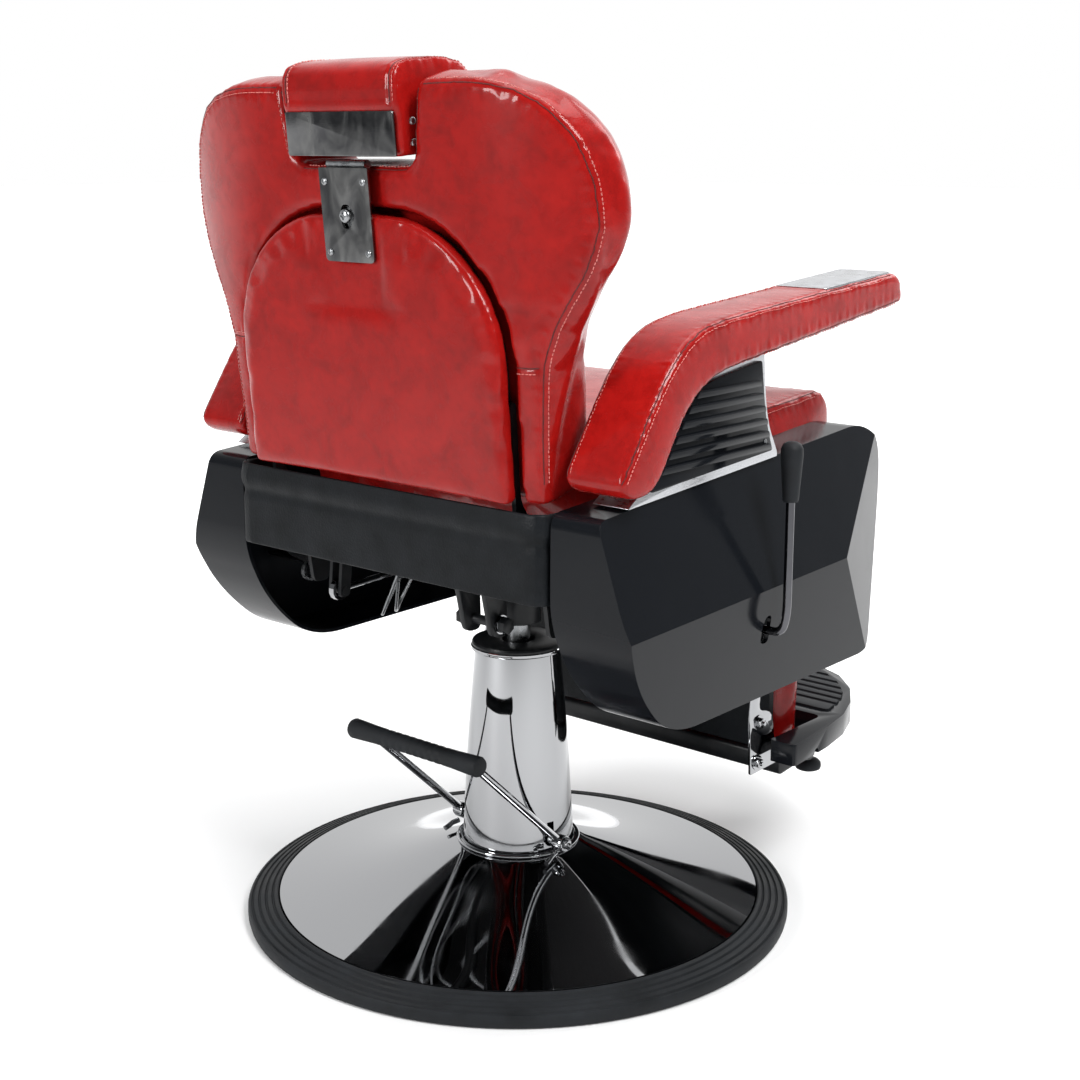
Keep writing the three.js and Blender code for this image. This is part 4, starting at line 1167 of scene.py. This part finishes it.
def hardware():
    for node in ("mount_plate", "frame_rail_left", "frame_rail_right", "cross_tube_front",
                 "cross_tube_rear", "swivel_hub", "calf_plate_left", "calf_plate_right",
                 "calf_beam", "footrest_mat", "footrest_platform", "calf_board"):
        refined(node, 1.0)
    for label, side in SIDES:
        for y, z, name in ((-204, 186, "low"), (-206, 240, "high")):
            bolt = hex_bolt(f"plate_bolt_{name}_{label}", (side * 231, y, z), (side, 0, 0), 7, 5, 10)
            finished(bolt, "legrest", "chrome")
        stem = turned(f"foot_stem_{label}", [(0, 134), (6, 134), (6, 185.5), (0, 185.5)], 32)
        nut = prism("nut", [(9 * math.cos(a), 9 * math.sin(a)) for a in
                            [k * math.pi / 3 for k in range(6)]], "Z", 178, 185.5)
        stem = joined(f"foot_stem_{label}", [stem, bevelled(nut, 0.8, 2)])
        pad = turned(f"foot_rubber_{label}", [(0, 121), (14, 121), (17, 122.5), (18, 126),
                                              (17.4, 131), (14, 134.5), (8, 136.5), (0, 136.5)], 48)
        for piece in (stem, pad):
            moved(piece, side * 200, -379, 0)
        finished(smooth(stem, 40), "footrest", "chrome", f"levelling_foot_{label}")
        finished(smooth(pad, 60), "footrest", "ring_rubber")


def under_seat():
    """Bolts on the clevis and frame, the release cables, and the clip by the lever's eye."""
    for label, side in SIDES:
        clevis = hex_bolt(f"clevis_bolt_{label}", (side * 27, 61, 390), (side, 0, 0), 9, 7, 12)
        finished(clevis, "seat", "chrome")
        for i, y in enumerate((-120, -20, 60)):
            bolt = hex_bolt(f"rail_bolt_{label}_{i}", (side * 235.6, y, 440), (-side, 0, 0), 7, 5, 10)
            finished(bolt, "seat", "chrome")
    for i, shift in enumerate((0, 26)):
        points = [(-150, -38 + shift, 438), (60, -30 + shift, 436), (185, -14 + shift, 425),
                  (210, 4 + shift, 362), (190, 30 + shift, 358), (150, 60, 430)]
        path = bent_path(in_metres(points), 0.018)
        finished(tube(f"release_cable_{i}", path, 0.0022, 12), "seat", "bare_steel")
    for label, side in SIDES:
        points = [(side * 84, 24, 93), (side * 86, 34, 92), (side * 87, 40, 89), (side * 88, 46, 87)]
        clip = tube(f"lever_clip_{label}", in_metres(points), 0.0035, 16)
        finished(clip, "base", "chrome")


# ------------------------------------------------------------------------ studio

def along_view(nodes, links, source, scale):
    """How far a coordinate lies along the camera's level direction."""
    where = nodes.new("ShaderNodeTexCoord")
    dot = nodes.new("ShaderNodeVectorMath")
    dot.operation = "DOT_PRODUCT"
    dot.inputs[1].default_value = AWAY / scale
    links.new(where.outputs[source], dot.inputs[0])
    return dot.outputs["Value"]


def studio():
    """Pale floor with a painted glow, faint by the chair and rising to white far behind it, soft
    boxes and the camera at the photograph's angle.
    """
    floor = new_object("floor", [(-30, -30, 0), (30, -30, 0), (30, 30, 0), (-30, 30, 0)],
                       [[0, 1, 2, 3]], 1)
    made, nodes, links, shader = material("floor", (0.8, 0.8, 0.8), 0.7)
    # Painted light: the floor itself glows, faint by the chair and rising to white far behind it
    # along the view.
    glow = ramp(nodes, links, along_view(nodes, links, "Object", 6),
                [(0.0, 0.1), (0.06, 0.2), (0.4, 1.0)])
    links.new(glow, shader.inputs["Emission Color"])
    shader.inputs["Emission Strength"].default_value = 1.0
    floor.data.materials.append(made)

    world = bpy.data.worlds.new("studio")
    world.use_nodes = True
    nodes, links = world.node_tree.nodes, world.node_tree.links
    sky = ramp(nodes, links, along_view(nodes, links, "Generated", 1),
               [(0.0, (0.16, 0.165, 0.17)), (0.35, (0.55, 0.56, 0.57)), (0.7, (1.0, 1.0, 1.0))])
    links.new(sky, nodes["Background"].inputs["Color"])
    nodes["Background"].inputs["Strength"].default_value = 1.0
    bpy.context.scene.world = world
    bpy.context.scene.view_settings.view_transform = "Standard"

    lights = (
        ("key", (-2.3, 0.5, 2.9), 1.0, 1.4, 100),
        ("side", (0.8, 2.9, 1.5), 0.6, 1.3, 50),
        ("top", (0, -0.2, 3.2), 2.4, 2.4, 50),
        ("rear", (-0.5, -3.0, 2.7), 1.6, 2.2, 40),
    )
    for name, place, wide, tall, power in lights:
        data = bpy.data.lights.new(name, "AREA")
        data.shape = "RECTANGLE"
        data.size, data.size_y = wide, tall
        data.energy = power
        light = placed(name, data)
        light.location = place
        aim = Vector((0, 0, 0.6)) - light.location
        light.rotation_euler = aim.to_track_quat("-Z", "Y").to_euler()

    data = bpy.data.cameras.new("camera")
    data.lens = CAMERA_LENS
    camera = placed("camera", data)
    camera.location = CAMERA_PLACE
    camera.rotation_euler = CAMERA_LOOK.to_track_quat("-Z", "Y").to_euler()
    bpy.context.scene.camera = camera


paint_cad_nodes()
studio()
base()
pump_lever()
side_panels()
armrests()
recline_lever()
headrest_fittings()
hardware()
under_seat()
apron()
upholstery()
